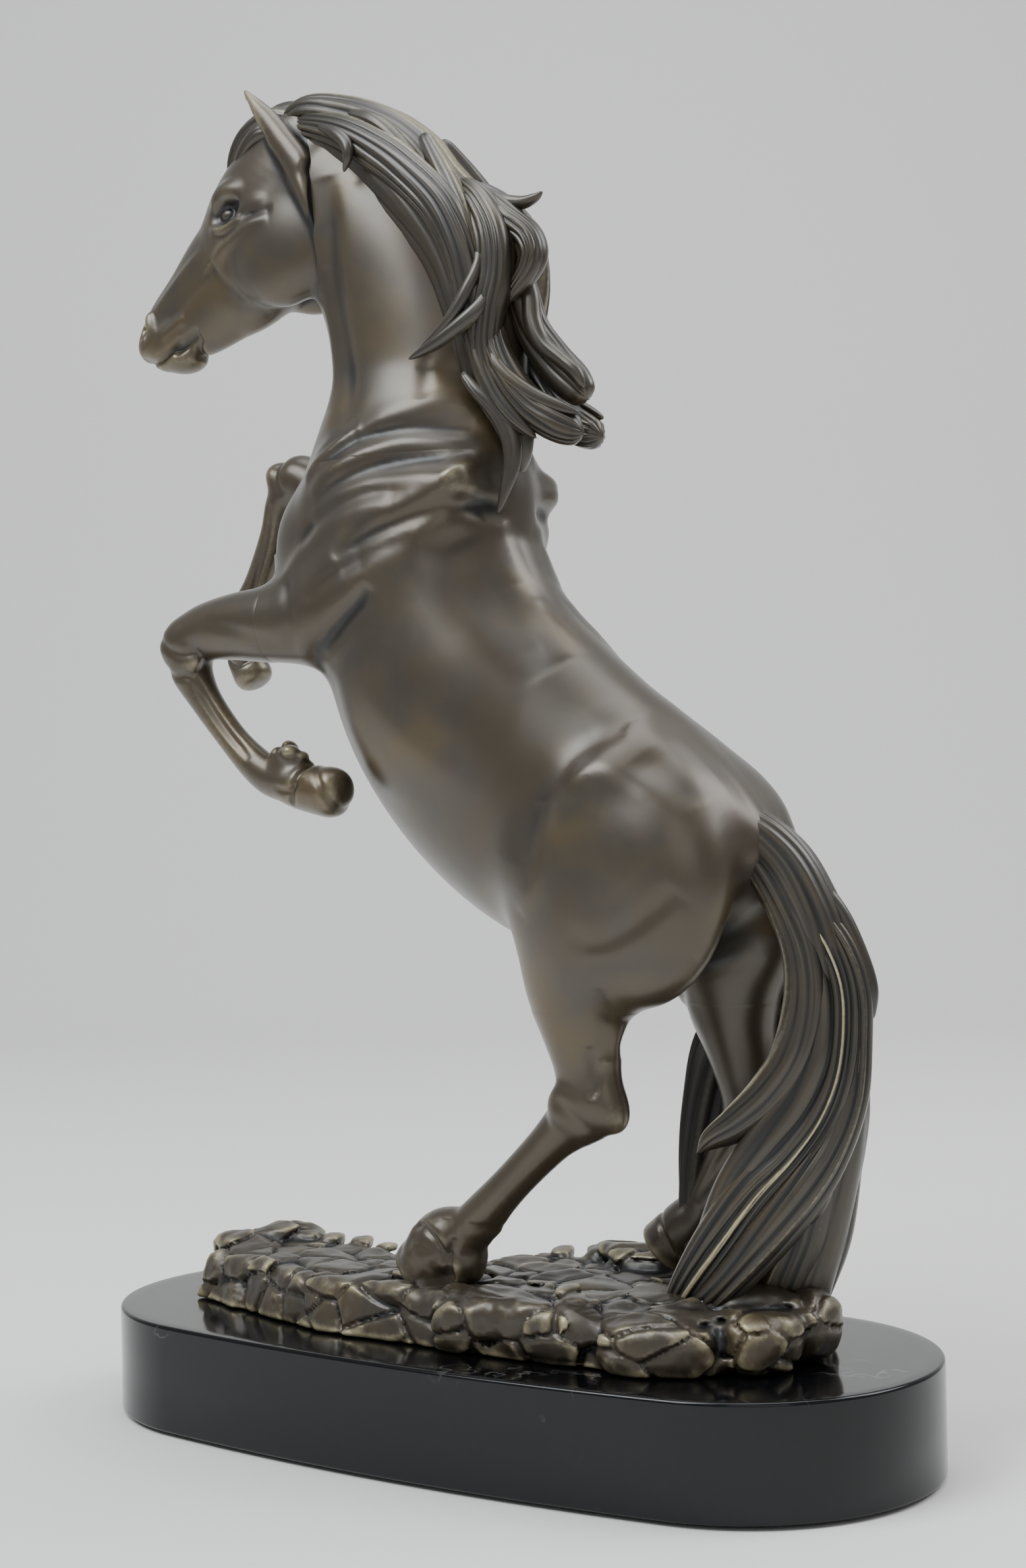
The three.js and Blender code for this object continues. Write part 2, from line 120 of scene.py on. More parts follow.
def unit(vector):
    """A vector divided by its own length."""
    vector = np.asarray(vector, np.float32)
    return vector / np.linalg.norm(vector)


def soft_min(a, b, width):
    """The smaller of two distances, lowered by a parabola where they differ by less than width."""
    near = np.maximum(width - np.abs(a - b), 0) / width
    return np.minimum(a, b) - near * near * (width / 4)


def smooth_path(stations, per=6):
    """Samples of a Catmull-Rom curve: a cubic between stations that passes through each of them."""
    knots = np.asarray(stations, float)
    ends = np.concatenate([[2 * knots[0] - knots[1]], knots, [2 * knots[-1] - knots[-2]]])
    t = np.linspace(0, 1, per, endpoint=False)[:, None, None]
    a, b, c, d = ends[:-3], ends[1:-2], ends[2:-1], ends[3:]
    curve = 2 * b + (c - a) * t + (2 * a - 5 * b + 4 * c - d) * t**2 + (3 * b - a - 3 * c + d) * t**3
    samples = 0.5 * curve.transpose(1, 0, 2).reshape(-1, knots.shape[1])
    return np.concatenate([samples, knots[-1:]]).astype(np.float32)


class Clay:
    """A block of evenly spaced points that holds the distance to the surface at each."""

    def __init__(self, low, high, step):
        self.step = step
        self.low = np.asarray(low, np.float32)
        count = np.ceil((np.asarray(high) - np.asarray(low)) / step).astype(int) + 1
        self.axes = [self.low[k] + step * np.arange(count[k], dtype=np.float32) for k in range(3)]
        self.field = np.full(count, FAR, np.float32)

    def window(self, low, high):
        """The slices of the block between two corners."""
        first = np.floor((np.asarray(low) - self.low) / self.step).astype(int)
        last = np.ceil((np.asarray(high) - self.low) / self.step).astype(int) + 1
        sizes = self.field.shape
        return tuple(slice(*np.clip((first[k], last[k]), 0, sizes[k]).tolist()) for k in range(3))

    def points(self, part, middle=(0, 0, 0)):
        """Three arrays that broadcast to a window's x, y and z, measured from the middle."""
        x, y, z = (axis[cut] - np.float32(m) for axis, cut, m in zip(self.axes, part, middle))
        return x[:, None, None], y[None, :, None], z[None, None, :]

    def join(self, lump, width=0.0):
        """Adds a lump, with a join that is rounded over the width."""
        part, distance = lump
        old = self.field[part]
        self.field[part] = soft_min(old, distance, width) if width else np.minimum(old, distance)

    def carve(self, lump, width=0.5):
        """Takes a lump away, with a rim that is rounded over the width."""
        part, distance = lump
        self.field[part] = -soft_min(-self.field[part], distance, width)

    def smooth(self, passes):
        """Evens out the block: each point becomes a half of itself and a quarter of each neighbour."""
        for axis in range(3):
            for _ in range(passes):
                a = np.moveaxis(self.field, axis, 0)
                a[1:-1] = 0.5 * a[1:-1] + 0.25 * (a[:-2] + a[2:])

    def trim(self, point, normal, low=(-FAR_OFF,) * 3, high=(FAR_OFF,) * 3, overlap=2.5):
        """
        Cuts off what lies beyond a plane, but lets a tongue of the same shape pass it, which sinks
        below the surface with the square of the way past. So the next casting's skin crosses this
        one's exactly at the seam, and no gap or step shows, as on a chased weld. The cut works
        between two corners only, so that the seam of one limb leaves the rest of the body whole.
        """
        part = self.window(low, high)
        x, y, z = self.points(part, point)
        a, b, c = unit(normal)
        past = np.maximum(x * a + y * b + z * c, 0)
        self.field[part] = np.maximum(self.field[part] + 0.12 * past * past, past - overlap)


# %% Lumps, tubes and strokes
def tube(clay, stations, across=(0, 1, 0), per=6):
    """
    A tapered tube of elliptical section along stations of x, y, z, half depth and half width. In a
    section its distance is k (k - 1) / g, where k is the length of the offset measured in half
    sizes, and g is the length of the offset measured in squared half sizes.
    """
    path = smooth_path(stations, per)
    reach = path[:, 3:].max() + REACH
    whole = clay.window(path[:, :3].min(0) - reach, path[:, :3].max(0) + reach)
    out = np.full([cut.stop - cut.start for cut in whole], FAR, np.float32)
    for start, end in zip(path[:-1], path[1:]):
        run = end[:3] - start[:3]
        length = float(np.linalg.norm(run))
        along = run / length
        side = unit(np.asarray(across, np.float32) - np.dot(across, along) * along)
        deep = np.cross(side, along)
        reach = max(start[3:].max(), end[3:].max()) + REACH
        part = clay.window(np.minimum(start, end)[:3] - reach, np.maximum(start, end)[:3] + reach)
        if any(cut.stop <= cut.start for cut in part):
            continue
        inner = tuple(slice(a.start - b.start, a.stop - b.start) for a, b in zip(part, whole))
        x, y, z = clay.points(part, start[:3])
        forward = x * along[0] + y * along[1] + z * along[2]
        share = np.clip(forward / length, 0, 1)
        deep_size = start[3] + share * (end[3] - start[3])
        wide_size = start[4] + share * (end[4] - start[4])
        cap = np.minimum(deep_size, wide_size)
        u = (x * deep[0] + y * deep[1] + z * deep[2]) / deep_size
        v = (x * side[0] + y * side[1] + z * side[2]) / wide_size
        w = (forward - share * length) / cap
        k = np.sqrt(u * u + v * v + w * w) + 1e-6
        g = np.sqrt((u / deep_size) ** 2 + (v / wide_size) ** 2 + (w / cap) ** 2) + 1e-6
        out[inner] = np.minimum(out[inner], k * (k - 1) / g)
    return whole, out


def ball(clay, middle, sizes, pitch=0.0, yaw=0.0, power=2.0):
    """
    An ellipsoid of half sizes along the body, across it and up, turned by its pitch, which lifts
    the +x end, and then by its yaw about the upright. A power above 2 squares it off like a stone.
    """
    cp, sp = math.cos(math.radians(pitch)), math.sin(math.radians(pitch))
    cy, sy = math.cos(math.radians(yaw)), math.sin(math.radians(yaw))
    reach = max(sizes) * (1 if power == 2 else 1.4) + REACH
    part = clay.window(np.asarray(middle) - reach, np.asarray(middle) + reach)
    x, y, z = clay.points(part, middle)
    level = x * cy + y * sy
    u = (level * cp + z * sp) / sizes[0]
    v = (y * cy - x * sy) / sizes[1]
    w = (z * cp - level * sp) / sizes[2]
    g = np.sqrt((u / sizes[0]) ** 2 + (v / sizes[1]) ** 2 + (w / sizes[2]) ** 2) + 1e-6
    if power == 2:
        k = np.sqrt(u * u + v * v + w * w) + 1e-6
        return part, k * (k - 1) / g
    k = (np.abs(u) ** power + np.abs(v) ** power + np.abs(w) ** power) ** (1 / power) + 1e-6
    return part, np.sqrt(u * u + v * v + w * w) * (k - 1) / g


def stroke(clay, line, width, height, width_below=None, spine=-5):
    """
    A thumb's stroke along a line of x and z, on both of the horse's sides: a ridge, or with a
    negative height a groove, of section height * exp(-(r / width)^2), which fades at both ends of
    the line. The two flanks may have different widths, so one side of a fold can be steep and the
    other long. Towards the middle of the body it fades out over 5 mm, down to nothing at the spine.
    """
    path = smooth_path(line, 8)
    reach = 2.6 * max(width, width_below or width)
    low = (path[:, 0].min() - reach, -99, path[:, 1].min() - reach)
    high = (path[:, 0].max() + reach, 99, path[:, 1].max() + reach)
    part = clay.window(low, high)
    x, y, z = clay.points(part)
    px, pz = np.broadcast_arrays(x[:, 0, :], z[:, 0, :])
    best = np.full(px.shape, 1e9, np.float32)
    place = np.zeros(px.shape, np.float32)
    turn = np.zeros(px.shape, np.float32)
    count = len(path) - 1
    for i in range(count):
        dx, dz = path[i + 1] - path[i]
        share = np.clip(((px - path[i, 0]) * dx + (pz - path[i, 1]) * dz) / (dx * dx + dz * dz), 0, 1)
        rx, rz = px - path[i, 0] - share * dx, pz - path[i, 1] - share * dz
        square = rx * rx + rz * rz
        nearer = square < best
        best = np.where(nearer, square, best)
        place = np.where(nearer, (i + share) / count, place)
        turn = np.where(nearer, dx * rz - dz * rx, turn)
    widths = np.where(turn > 0, width, width_below or width)
    fade = np.sqrt(np.clip(np.minimum(place, 1 - place) * 5, 0, 1))
    swell = height * fade * np.exp(-best / widths**2)
    there = np.clip((np.abs(y) - spine) / 5, 0, 1)
    clay.field[part] -= swell[:, None, :] * there


def cloud(clay, part, size, seed):
    """Even randomness between -1 and 1 that changes over about the size, from a smoothed lattice."""
    weights = []
    for axis, cut in zip(clay.axes, part):
        place = (axis[cut] - axis[0]) / size
        cell = np.floor(place).astype(int)
        share = place - cell
        share = share * share * (3 - 2 * share)
        table = np.zeros((len(place), int(cell.max()) + 2), np.float32)
        rows = np.arange(len(place))
        table[rows, cell] = 1 - share
        table[rows, cell + 1] = share
        weights.append(table)
    lattice = np.random.default_rng(seed).uniform(-1, 1, [table.shape[1] for table in weights])
    return np.einsum("ia,jb,kc,abc->ijk", *weights, lattice.astype(np.float32), optimize=True)


# %% [markdown]
# ## Skin
#
# A surface is drawn through the block where the distance is nought. Every cell that the surface
# crosses gets one point, at the mean of the crossings on its edges, and every edge that is crossed
# gets one face, through the four cells round it. The points are then slid along the gradient until
# they lie on the surface. Two softened copies of the clay tell how hollow each place is: the bronze
# darkens the hollows, as acid patina and grime and as painted shade, and brightens the ridges, as
# wear from hands and as painted highlight.

# %% From clay to a mesh
def sample(block, clay, points):
    """A block's value at each point, from the eight corners of its cell."""
    place = (points - clay.low) / clay.step
    cell = np.clip(np.floor(place).astype(int), 0, np.array(block.shape) - 2)
    share = (place - cell).astype(np.float32)
    total = 0
    for i in (0, 1):
        for j in (0, 1):
            for k in (0, 1):
                weight = 1
                for axis, corner in enumerate((i, j, k)):
                    weight = weight * (share[:, axis] if corner else 1 - share[:, axis])
                total = total + weight * block[cell[:, 0] + i, cell[:, 1] + j, cell[:, 2] + k]
    return total


def hollowness(clay, radius):
    """The share of metal in a box round each point: a half on flat metal, and more in a hollow."""
    solid = np.clip(0.5 - clay.field / clay.step, 0, 1)
    half = max(1, round(radius / clay.step))
    for axis in range(3):
        for _ in range(2):
            pad = [(half + 1, half) if k == axis else (0, 0) for k in range(3)]
            total = np.cumsum(np.pad(solid, pad, mode="edge"), axis=axis, dtype=np.float64)
            size = solid.shape[axis]
            low = np.take(total, np.arange(size), axis=axis)
            high = np.take(total, np.arange(size) + 2 * half + 1, axis=axis)
            solid = ((high - low) / (2 * half + 1)).astype(np.float32)
    return solid


def skin(clay):
    """The points and the four-sided faces of the surface where the distance is nought."""
    field = clay.field
    for axis in range(3):
        ends = [slice(None)] * 3
        for end in (0, -1):
            ends[axis] = end
            field[tuple(ends)] = np.maximum(field[tuple(ends)], clay.step)
    inside = field < 0
    cells = [n - 1 for n in field.shape]
    corners = [(i, j, k) for i in (0, 1) for j in (0, 1) for k in (0, 1)]
    count = sum(
        inside[i : i + cells[0], j : j + cells[1], k : k + cells[2]].astype(np.int8)
        for i, j, k in corners
    )
    crossed = (count > 0) & (count < 8)
    index = np.full(cells, -1, np.int64)
    index[crossed] = np.arange(crossed.sum())
    cell = np.argwhere(crossed)
    total = np.zeros(cell.shape)
    hits = np.zeros(len(cell))
    for axis in range(3):
        step = np.eye(3, dtype=int)[axis]
        for corner in corners:
            if corner[axis]:
                continue
            first, second = cell + corner, cell + corner + step
            a = field[tuple(first.T)].astype(float)
            b = field[tuple(second.T)].astype(float)
            hit = (a < 0) != (b < 0)
            share = np.where(hit, a / np.where(hit, a - b, 1), 0)
            total += hit[:, None] * (corner + share[:, None] * step)
            hits += hit
    points = clay.low + clay.step * (cell + total / hits[:, None])
    faces = []
    for axis in range(3):
        b, c = (axis + 1) % 3, (axis + 2) % 3
        low = [slice(1, -1)] * 3
        low[axis] = slice(0, -1)
        high = list(low)
        high[axis] = slice(1, None)
        starts, ends = inside[tuple(low)], inside[tuple(high)]
        edge = np.argwhere(starts != ends)
        outward = starts[tuple(edge.T)]
        edge[:, [b, c]] += 1
        ring = []
        for back_b, back_c in ((1, 1), (0, 1), (0, 0), (1, 0)):
            place = edge.copy()
            place[:, b] -= back_b
            place[:, c] -= back_c
            ring.append(index[tuple(place.T)])
        ring = np.stack(ring, 1)
        faces.append(np.where(outward[:, None], ring, ring[:, ::-1]))
    slopes = np.gradient(field, clay.step)
    for _ in range(2):
        gap = sample(field, clay, points)[:, None]
        slope = np.stack([sample(s, clay, points) for s in slopes], 1)
        move = gap * slope / np.maximum((slope**2).sum(1, keepdims=True), 0.2)
        points -= np.clip(move, -clay.step / 2, clay.step / 2)
    return points, np.concatenate(faces)


def make_piece(name, points, faces, marks):
    """A closed, smooth mesh object in metres, with one number per point for each of its marks."""
    mesh = bpy.data.meshes.new(name)
    mesh.vertices.add(len(points))
    mesh.vertices.foreach_set("co", (np.asarray(points, np.float64) * MM).ravel())
    mesh.loops.add(faces.size)
    mesh.loops.foreach_set("vertex_index", faces.ravel())
    mesh.polygons.add(len(faces))
    mesh.polygons.foreach_set("loop_start", np.arange(0, faces.size, faces.shape[1]))
    mesh.update(calc_edges=True)
    mesh.validate()
    for mark, values in marks.items():
        mesh.attributes.new(mark, "FLOAT", "POINT").data.foreach_set("value", values.astype(np.float32))
    mesh.shade_smooth()
    piece = bpy.data.objects.new(name, mesh)
    bpy.context.scene.collection.objects.link(piece)
    return piece


def hand_in(piece, node, material):
    """Fixes a piece to the frame's body, in place of its node and its finish."""
    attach(piece, BODY)
    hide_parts(node)
    piece.data.materials.append(material)
    triangles = sum(len(p.vertices) - 2 for p in piece.data.polygons)
    print(f"{piece.name}: {triangles:,} triangles, {time.time() - started:.1f} s in")


# %% [markdown]
# ## The horse's masses
#
# Each mass is a run of stations: the middle of a section and its half depth and half width. They are
# the skeleton that the castings were planned on. Muscles that show under the skin, such as the
# breast, the point of the hip and the buttock, are ellipsoids pushed into the sides of the tubes.

# %% Stations of the masses
BARREL = [
    (75, 0, 162, 10, 12),
    (59, 0, 164, 25.5, 24),
    (41, 0, 167.5, 36, 29.5),
    (23, 0, 176, 39.5, 30),
    (6, 0, 189.5, 40, 32),
    (-8, 0, 205.5, 38.5, 33),
    (-17.5, 0, 224, 36.5, 32),
    (-25, 0, 242, 37, 29),
    (-26, 0, 260, 37, 26),
    (-25, 0, 274, 32, 21),
]
NECK = [
    (-25, 0, 262, 31, 22),
    (-25, 0, 279, 28.5, 20),
    (-26, 0, 297, 26.5, 16.5),
    (-30, 0, 314, 24.5, 15),
    (-37, 0, 330, 23, 14),
    (-47, 0, 344, 21, 13),
    (-57, 0, 354, 19, 12.5),
]
HEAD = [
    (-63, 0, 371, 12, 9),
    (-71, 0, 357, 21.5, 12),
    (-79, 0, 346, 23.5, 12.5),
    (-87.5, 0, 338, 21.5, 10.5),
    (-96, 0, 333, 19, 8.5),
    (-104, 0, 328, 16.5, 7.2),
    (-111, 0, 324, 14.0, 6.6),
    (-117, 0, 320, 12.0, 7),
    (-121, 0, 317.5, 9.5, 7.2),
]
LEFT_ARM = [
    (-26, -18, 235, 16, 11.5),
    (-42, -22, 229, 13.5, 11),
    (-58, -24, 227.5, 11.3, 9.5),
    (-73, -24, 227.5, 9.8, 8.5),
    (-85, -24, 226.5, 8.3, 7.5),
    (-92, -24, 224, 7.2, 7),
]
LEFT_SHIN = [
    (-92, -24, 224, 6.6, 6.8),
    (-92, -24, 217, 6.4, 6.4),
    (-86, -24, 207, 4.9, 4.8),
    (-76, -24, 195.5, 4.5, 4.3),
    (-67, -24, 187.5, 5.2, 4.9),
    (-60, -24, 183.5, 5.7, 5.4),
    (-53, -24, 182.3, 4.9, 5.0),
]
RIGHT_ARM = [
    (-34, 18, 240, 16, 11.5),
    (-50, 21, 249, 13, 11),
    (-66, 23, 260, 11, 9.5),
    (-79, 24, 269.5, 9.2, 8),
    (-88, 24, 275, 7.6, 7.3),
]
RIGHT_SHIN = [
    (-88, 24, 275, 6.6, 6.8),
    (-94, 24, 269, 6.4, 6.5),
    (-99, 24, 259, 4.8, 4.8),
    (-106, 24, 245, 4.5, 4.3),
    (-111, 24, 237, 5.0, 4.8),
    (-113.5, 24, 231, 5.2, 5.1),
    (-114, 24, 226, 4.7, 4.9),
]
LEFT_THIGH = [
    (49, -12, 178, 17, 12),
    (50.5, -17, 164, 28, 14),
    (50, -18.5, 150, 31.8, 14),
    (43, -19, 138.5, 25.5, 13),
    (38.8, -18.3, 127.5, 18, 10.8),
    (38.3, -17.3, 117, 13, 8.8),
    (39.2, -17, 106.5, 9.8, 7.2),
    (40, -17, 98, 9.4, 7),
    (39, -17, 93, 8, 6.5),
]
LEFT_CANNON = [
    (41, -17, 96, 7.5, 6.2),
    (35, -17, 91.5, 7.6, 6.3),
    (26, -17, 83.5, 6.2, 5.6),
    (15, -17, 73.5, 5.7, 5.2),
    (6, -16.5, 65, 6.3, 5.9),
    (-1, -16, 59, 6.6, 6.2),
    (-7, -16, 56, 6, 6),
]
RIGHT_THIGH = [
    (50, 12, 176, 18, 12),
    (56, 16, 163, 26, 14.5),
    (58, 18, 150, 28, 14.5),
    (60, 20, 138, 24, 12.5),
    (61, 21, 125, 16, 10.5),
    (62.5, 22, 113, 11.3, 8.6),
    (65, 22, 102, 9.2, 7.2),
    (67, 22, 94, 8.6, 7),
]
RIGHT_CANNON = [
    (69, 22, 92, 7.2, 6.2),
    (63, 22, 85, 7, 6),
    (57, 22, 75, 5.8, 5.2),
    (53, 22, 67, 6.2, 5.8),
    (50, 22, 62, 6.0, 6),
]
DOCK = [(60, 0, 171, 11, 10), (71, 0, 168, 8.5, 8), (80, 1, 163, 6.5, 6.5)]
SHOULDER = [(2, 20, 262, 6, 7), (-12, 22, 252, 13, 9), (-28, 22, 240, 16, 10), (-42, 20, 234, 13, 9)]
MUSCLES = [
    ((-50, 11, 246), (16, 13, 19), 20, 10),
    ((-34, 20, 262), (12, 6, 14), 30, 9),
    ((-20, 24, 236), (18, 6, 11), -20, 9),
    ((48, 21, 180), (9, 7, 7), 30, 9),
    ((63.5, 14, 162), (14.5, 12.5, 19.5), 20, 7),
    ((36, 20, 152), (10, 8, 16), 20, 10),
    ((-6, 22, 205), (20, 8, 22), 40, 12),
]


def both(stations, side):
    """Stations for the left side (-1) or the right side (1) from a list for the right side."""
    return [(x, y * side, *rest) for x, y, *rest in stations]


def mass(clay, trunk=True, shins=True):
    """Fills a block with the horse's masses, from the trunk outwards."""
    if trunk:
        clay.join(tube(clay, BARREL))
        clay.join(tube(clay, NECK), 10)
        for side in (-1, 1):
            clay.join(tube(clay, both(SHOULDER, side)), 8)
            for (x, y, z), sizes, pitch, width in MUSCLES:
                clay.join(ball(clay, (x, y * side, z), sizes, pitch), width)
        clay.join(tube(clay, DOCK), 6)
        clay.join(tube(clay, LEFT_THIGH), 9)
        clay.join(tube(clay, RIGHT_THIGH), 9)
    clay.join(tube(clay, LEFT_CANNON), 3)
    clay.join(tube(clay, RIGHT_CANNON), 3)
    clay.join(tube(clay, LEFT_ARM), 8)
    clay.join(tube(clay, RIGHT_ARM), 8)
    if shins:
        clay.join(tube(clay, LEFT_SHIN), 3)
        clay.join(tube(clay, RIGHT_SHIN), 3)
    if trunk:
        clay.join(tube(clay, HEAD), 4)
        for side in (-1, 1):
            clay.join(ball(clay, (-67, 7.5 * side, 338), (18, 6.5, 17)), 4)
    clay.smooth(6)


# %% [markdown]
# The skin of a straining horse is all folds. Each is a stroke of the thumb: a long swell with a
# groove beside it. They run from the breast up over the shoulder, down the throat, round the elbow,
# along the ribs and over the thigh.

# %% Folds and grooves, as lines of x and z with a width and a height
FOLDS = [
    ([(-48, 267), (-44, 271), (-37, 275), (-28, 281)], 1.3, 0.7, 2.2),
    ([(-29, 279), (-19, 283), (-10, 285.5), (-2, 286), (5, 283)], 4.0, 0.8, 3.2),
    ([(-40, 270), (-34, 274), (-26, 277.5), (-16, 278.6), (-5, 278), (3, 278.5)], 2.0, -0.7, 2.6),
    ([(-43, 262), (-38, 267), (-30, 271), (-22, 273.5), (-14, 275), (-5, 275), (3, 274), (7, 270)],
     2.6, 1.0, 3.0),
    ([(3, 283), (7, 279), (8, 273), (6, 267), (2, 263)], 1.5, 0.9, 3.0),
    ([(-40, 259), (-34, 264), (-27, 266.5), (-21, 268.3), (-13, 269), (-4, 269), (3, 267)],
     2.0, -0.6, 3.0),
    ([(-42, 254), (-38, 258), (-31, 261.5), (-21, 264), (-11, 265), (-4, 265), (3, 262)],
     2.8, 0.7, 3.0),
    ([(-46, 248), (-44, 252), (-36, 257), (-27, 259.6), (-18, 261), (-7, 260)], 2.0, -0.5, 3.2),
    ([(-50, 238), (-47, 245), (-40, 250), (-33, 254), (-23, 257), (-13, 258)], 3.4, 0.8, 3.4),
    ([(-30, 243), (-24, 246.5), (-18, 249.5), (-11, 252), (-2, 255), (5, 257), (11, 255)],
     2.8, -1.6, 5.0),
    ([(-40, 232), (-34, 237.5), (-27, 240.5), (-19, 243.5), (-12, 246), (-5, 248)], 2.0, -0.8, 3.0),
    ([(-21, 243), (-13, 246.5), (-4, 250), (3, 252), (9, 250), (14, 243), (17, 236)],
     3.0, 0.8, 4.5),
    ([(9, 251), (12, 246), (16, 240), (22, 232)], 3.0, -0.7, 3.4),
    ([(8, 240), (15, 229), (21, 221), (30, 209)], 3.0, -0.7, 3.4),
    ([(10, 252), (14, 245), (19, 236), (26, 225), (33, 214)], 2.2, 0.8, 3.5),
    ([(54, 194), (48, 191), (44, 188), (40, 183), (35, 177), (33, 170), (31, 160)], 3.4, -1.1, 6.0),
    ([(44, 179), (46, 182), (50, 184), (55, 183.5), (65, 178.5), (75, 171)], 2.8, 0.6, 4.0),
    ([(54, 197), (58, 194), (66, 188), (76, 180), (82, 174), (86, 168)], 2.2, 0.6, 3.4),
    ([(60, 187), (68, 181), (76, 174)], 3.0, -0.4, 3.4),
    ([(44, 142), (50, 139), (56, 140), (62, 143), (68, 147.5), (74, 153.5)], 2.6, -0.8, 4.0),
    ([(48, 137), (53, 136.5), (61, 139.5), (69, 144.5), (76, 150)], 2.6, 0.5, 3.0),
    ([(37, 176), (37, 166), (34, 155), (28, 147)], 3.4, 0.6, 3.6),
    ([(42, 133), (55, 131), (66, 132), (76, 135)], 3.0, -0.6, 3.4),
    ([(51, 128), (49, 117), (47, 108)], 1.8, -0.9, 2.2),
    ([(-44, 214), (-40, 219), (-35, 222), (-29, 226), (-22, 231), (-18, 236)], 2.2, -1.6, 3.6),
    ([(-50, 241), (-47, 234), (-46, 227), (-48, 219)], 2.2, -0.6, 2.4),
    ([(-80, 229), (-68, 226), (-56, 222), (-46, 219)], 2.0, -0.4, 2.4),
    ([(-47, 355), (-45, 341), (-44, 328), (-42, 315), (-38, 299), (-33, 283)], 3.2, -1.3, 4.2),
    ([(-49, 330), (-49, 318), (-48, 302), (-47, 288)], 2.6, 0.5, 2.6),
    ([(-12, 300), (-11, 293), (-10, 287)], 1.8, -0.5, 2.2),
    ([(-22, 212), (-12, 198), (0, 187), (14, 176)], 5.0, 0.5, 5.0),
]



def chase(clay):
    """Works every fold into a block."""
    for line, width, height, width_below in FOLDS:
        stroke(clay, line, width, height, width_below, spine=4)


# %% [markdown]
# ## Finishes
#
# Shader sums are written as Python sums: one small class wraps a socket, and an expression on it
# adds the Math nodes. The bronze is one recipe with a few settings: brown in two tones, olive
# clouds, hollows darkened as patina and as painted shade, and ridges brightened as worn brass and
# as painted highlight. The two marks that every casting carries tell it where they are.

# %% A wrapper for shader sockets
MIX_COLOUR_INPUTS = (0, 6, 7)  # a Mix node's factor and its two colours
MIX_COLOUR_OUTPUT = 2


def plug(tree, socket, value):
    """Sets a socket to a number, a colour or a vector, or links it to a wire."""
    if isinstance(value, Wire):
        tree.links.new(value.socket, socket)
    else:
        socket.default_value = value


class Wire:
    """A socket's value as it runs through a node tree."""

    def __init__(self, tree, socket):
        self.tree = tree
        self.socket = socket

    def node(self, kind, settings=None, output=0, **values):
        """Adds a node with its settings first, then its sockets' values or links by their names."""
        return add_node(self.tree, kind, settings, output, **values)

    def math(self, operation, *values):
        """A Math node of this value and up to two more."""
        made = self.tree.nodes.new("ShaderNodeMath")
        made.operation = operation
        for socket, value in zip(made.inputs, (self, *values)):
            plug(self.tree, socket, value)
        return Wire(self.tree, made.outputs[0])

    def __add__(self, other):
        return self.math("ADD", other)

    __radd__ = __add__

    def __mul__(self, other):
        return self.math("MULTIPLY", other)

    __rmul__ = __mul__

    def __sub__(self, other):
        return self.math("SUBTRACT", other)

    def __rsub__(self, other):
        return self.math("MULTIPLY", -1.0).math("ADD", other)

    def span(self, low, high):
        """This value stretched so that low becomes 0 and high becomes 1, smoothly, and held there."""
        settings = {"interpolation_type": "SMOOTHSTEP"}
        return self.node("MapRange", settings, Value=self, **{"From Min": low, "From Max": high})

    def mix(self, first, second):
        """A colour that goes from the first to the second as this value goes from 0 to 1."""
        made = self.tree.nodes.new("ShaderNodeMix")
        made.data_type = "RGBA"
        for index, value in zip(MIX_COLOUR_INPUTS, (self, first, second)):
            plug(self.tree, made.inputs[index], value)
        return Wire(self.tree, made.outputs[MIX_COLOUR_OUTPUT])


def add_node(tree, kind, settings=None, output=0, **values):
    """Adds a shader node to a tree, and gives back the wire of its output."""
    made = tree.nodes.new("ShaderNode" + kind)
    for setting, value in (settings or {}).items():
        setattr(made, setting, value)
    for name, value in values.items():
        plug(tree, made.inputs[name], value)
    return Wire(tree, made.outputs[output])


def colour(red, green, blue):
    """A colour as it looks on a screen, turned into amounts of light."""
    return tuple((c / 255) ** 2.2 for c in (red, green, blue)) + (1.0,)


def new_finish(name):
    """An empty material, its tree, its main shader and its Object coordinates in millimetres."""
    material = bpy.data.materials.new(name)
    material.use_nodes = True
    tree = material.node_tree
    shader = tree.nodes["Principled BSDF"]
    place = add_node(tree, "TexCoord", output="Object")
    made = tree.nodes.new("ShaderNodeVectorMath")
    made.operation = "SCALE"
    made.inputs["Scale"].default_value = 1 / MM
    tree.links.new(place.socket, made.inputs[0])
    return material, tree, shader, Wire(tree, made.outputs[0])


def noise(place, size, detail=3.0, roughness=0.55, seed=0.0):
    """Cloudy noise between 0 and 1 whose patches are about the size across, in millimetres."""
    settings = {"noise_dimensions": "4D"}
    values = {"Scale": 1 / size, "Detail": detail, "Roughness": roughness, "W": seed}
    return place.node("TexNoise", settings, Vector=place, **values)


# %% The bronze's brown skin
UMBER = colour(70, 61, 48)
SMOKE = colour(62, 60, 57)
OLIVE = colour(98, 80, 44)
# Near black for hollows: soot patina, and painted shade in creases, folds and joints.
SOOT_AND_SHADE = colour(14, 13, 12)
# Pale brass for ridges: bronze worn bright, and painted highlight on crests and lock edges.
BRASS_AND_HIGHLIGHT = colour(212, 200, 160)


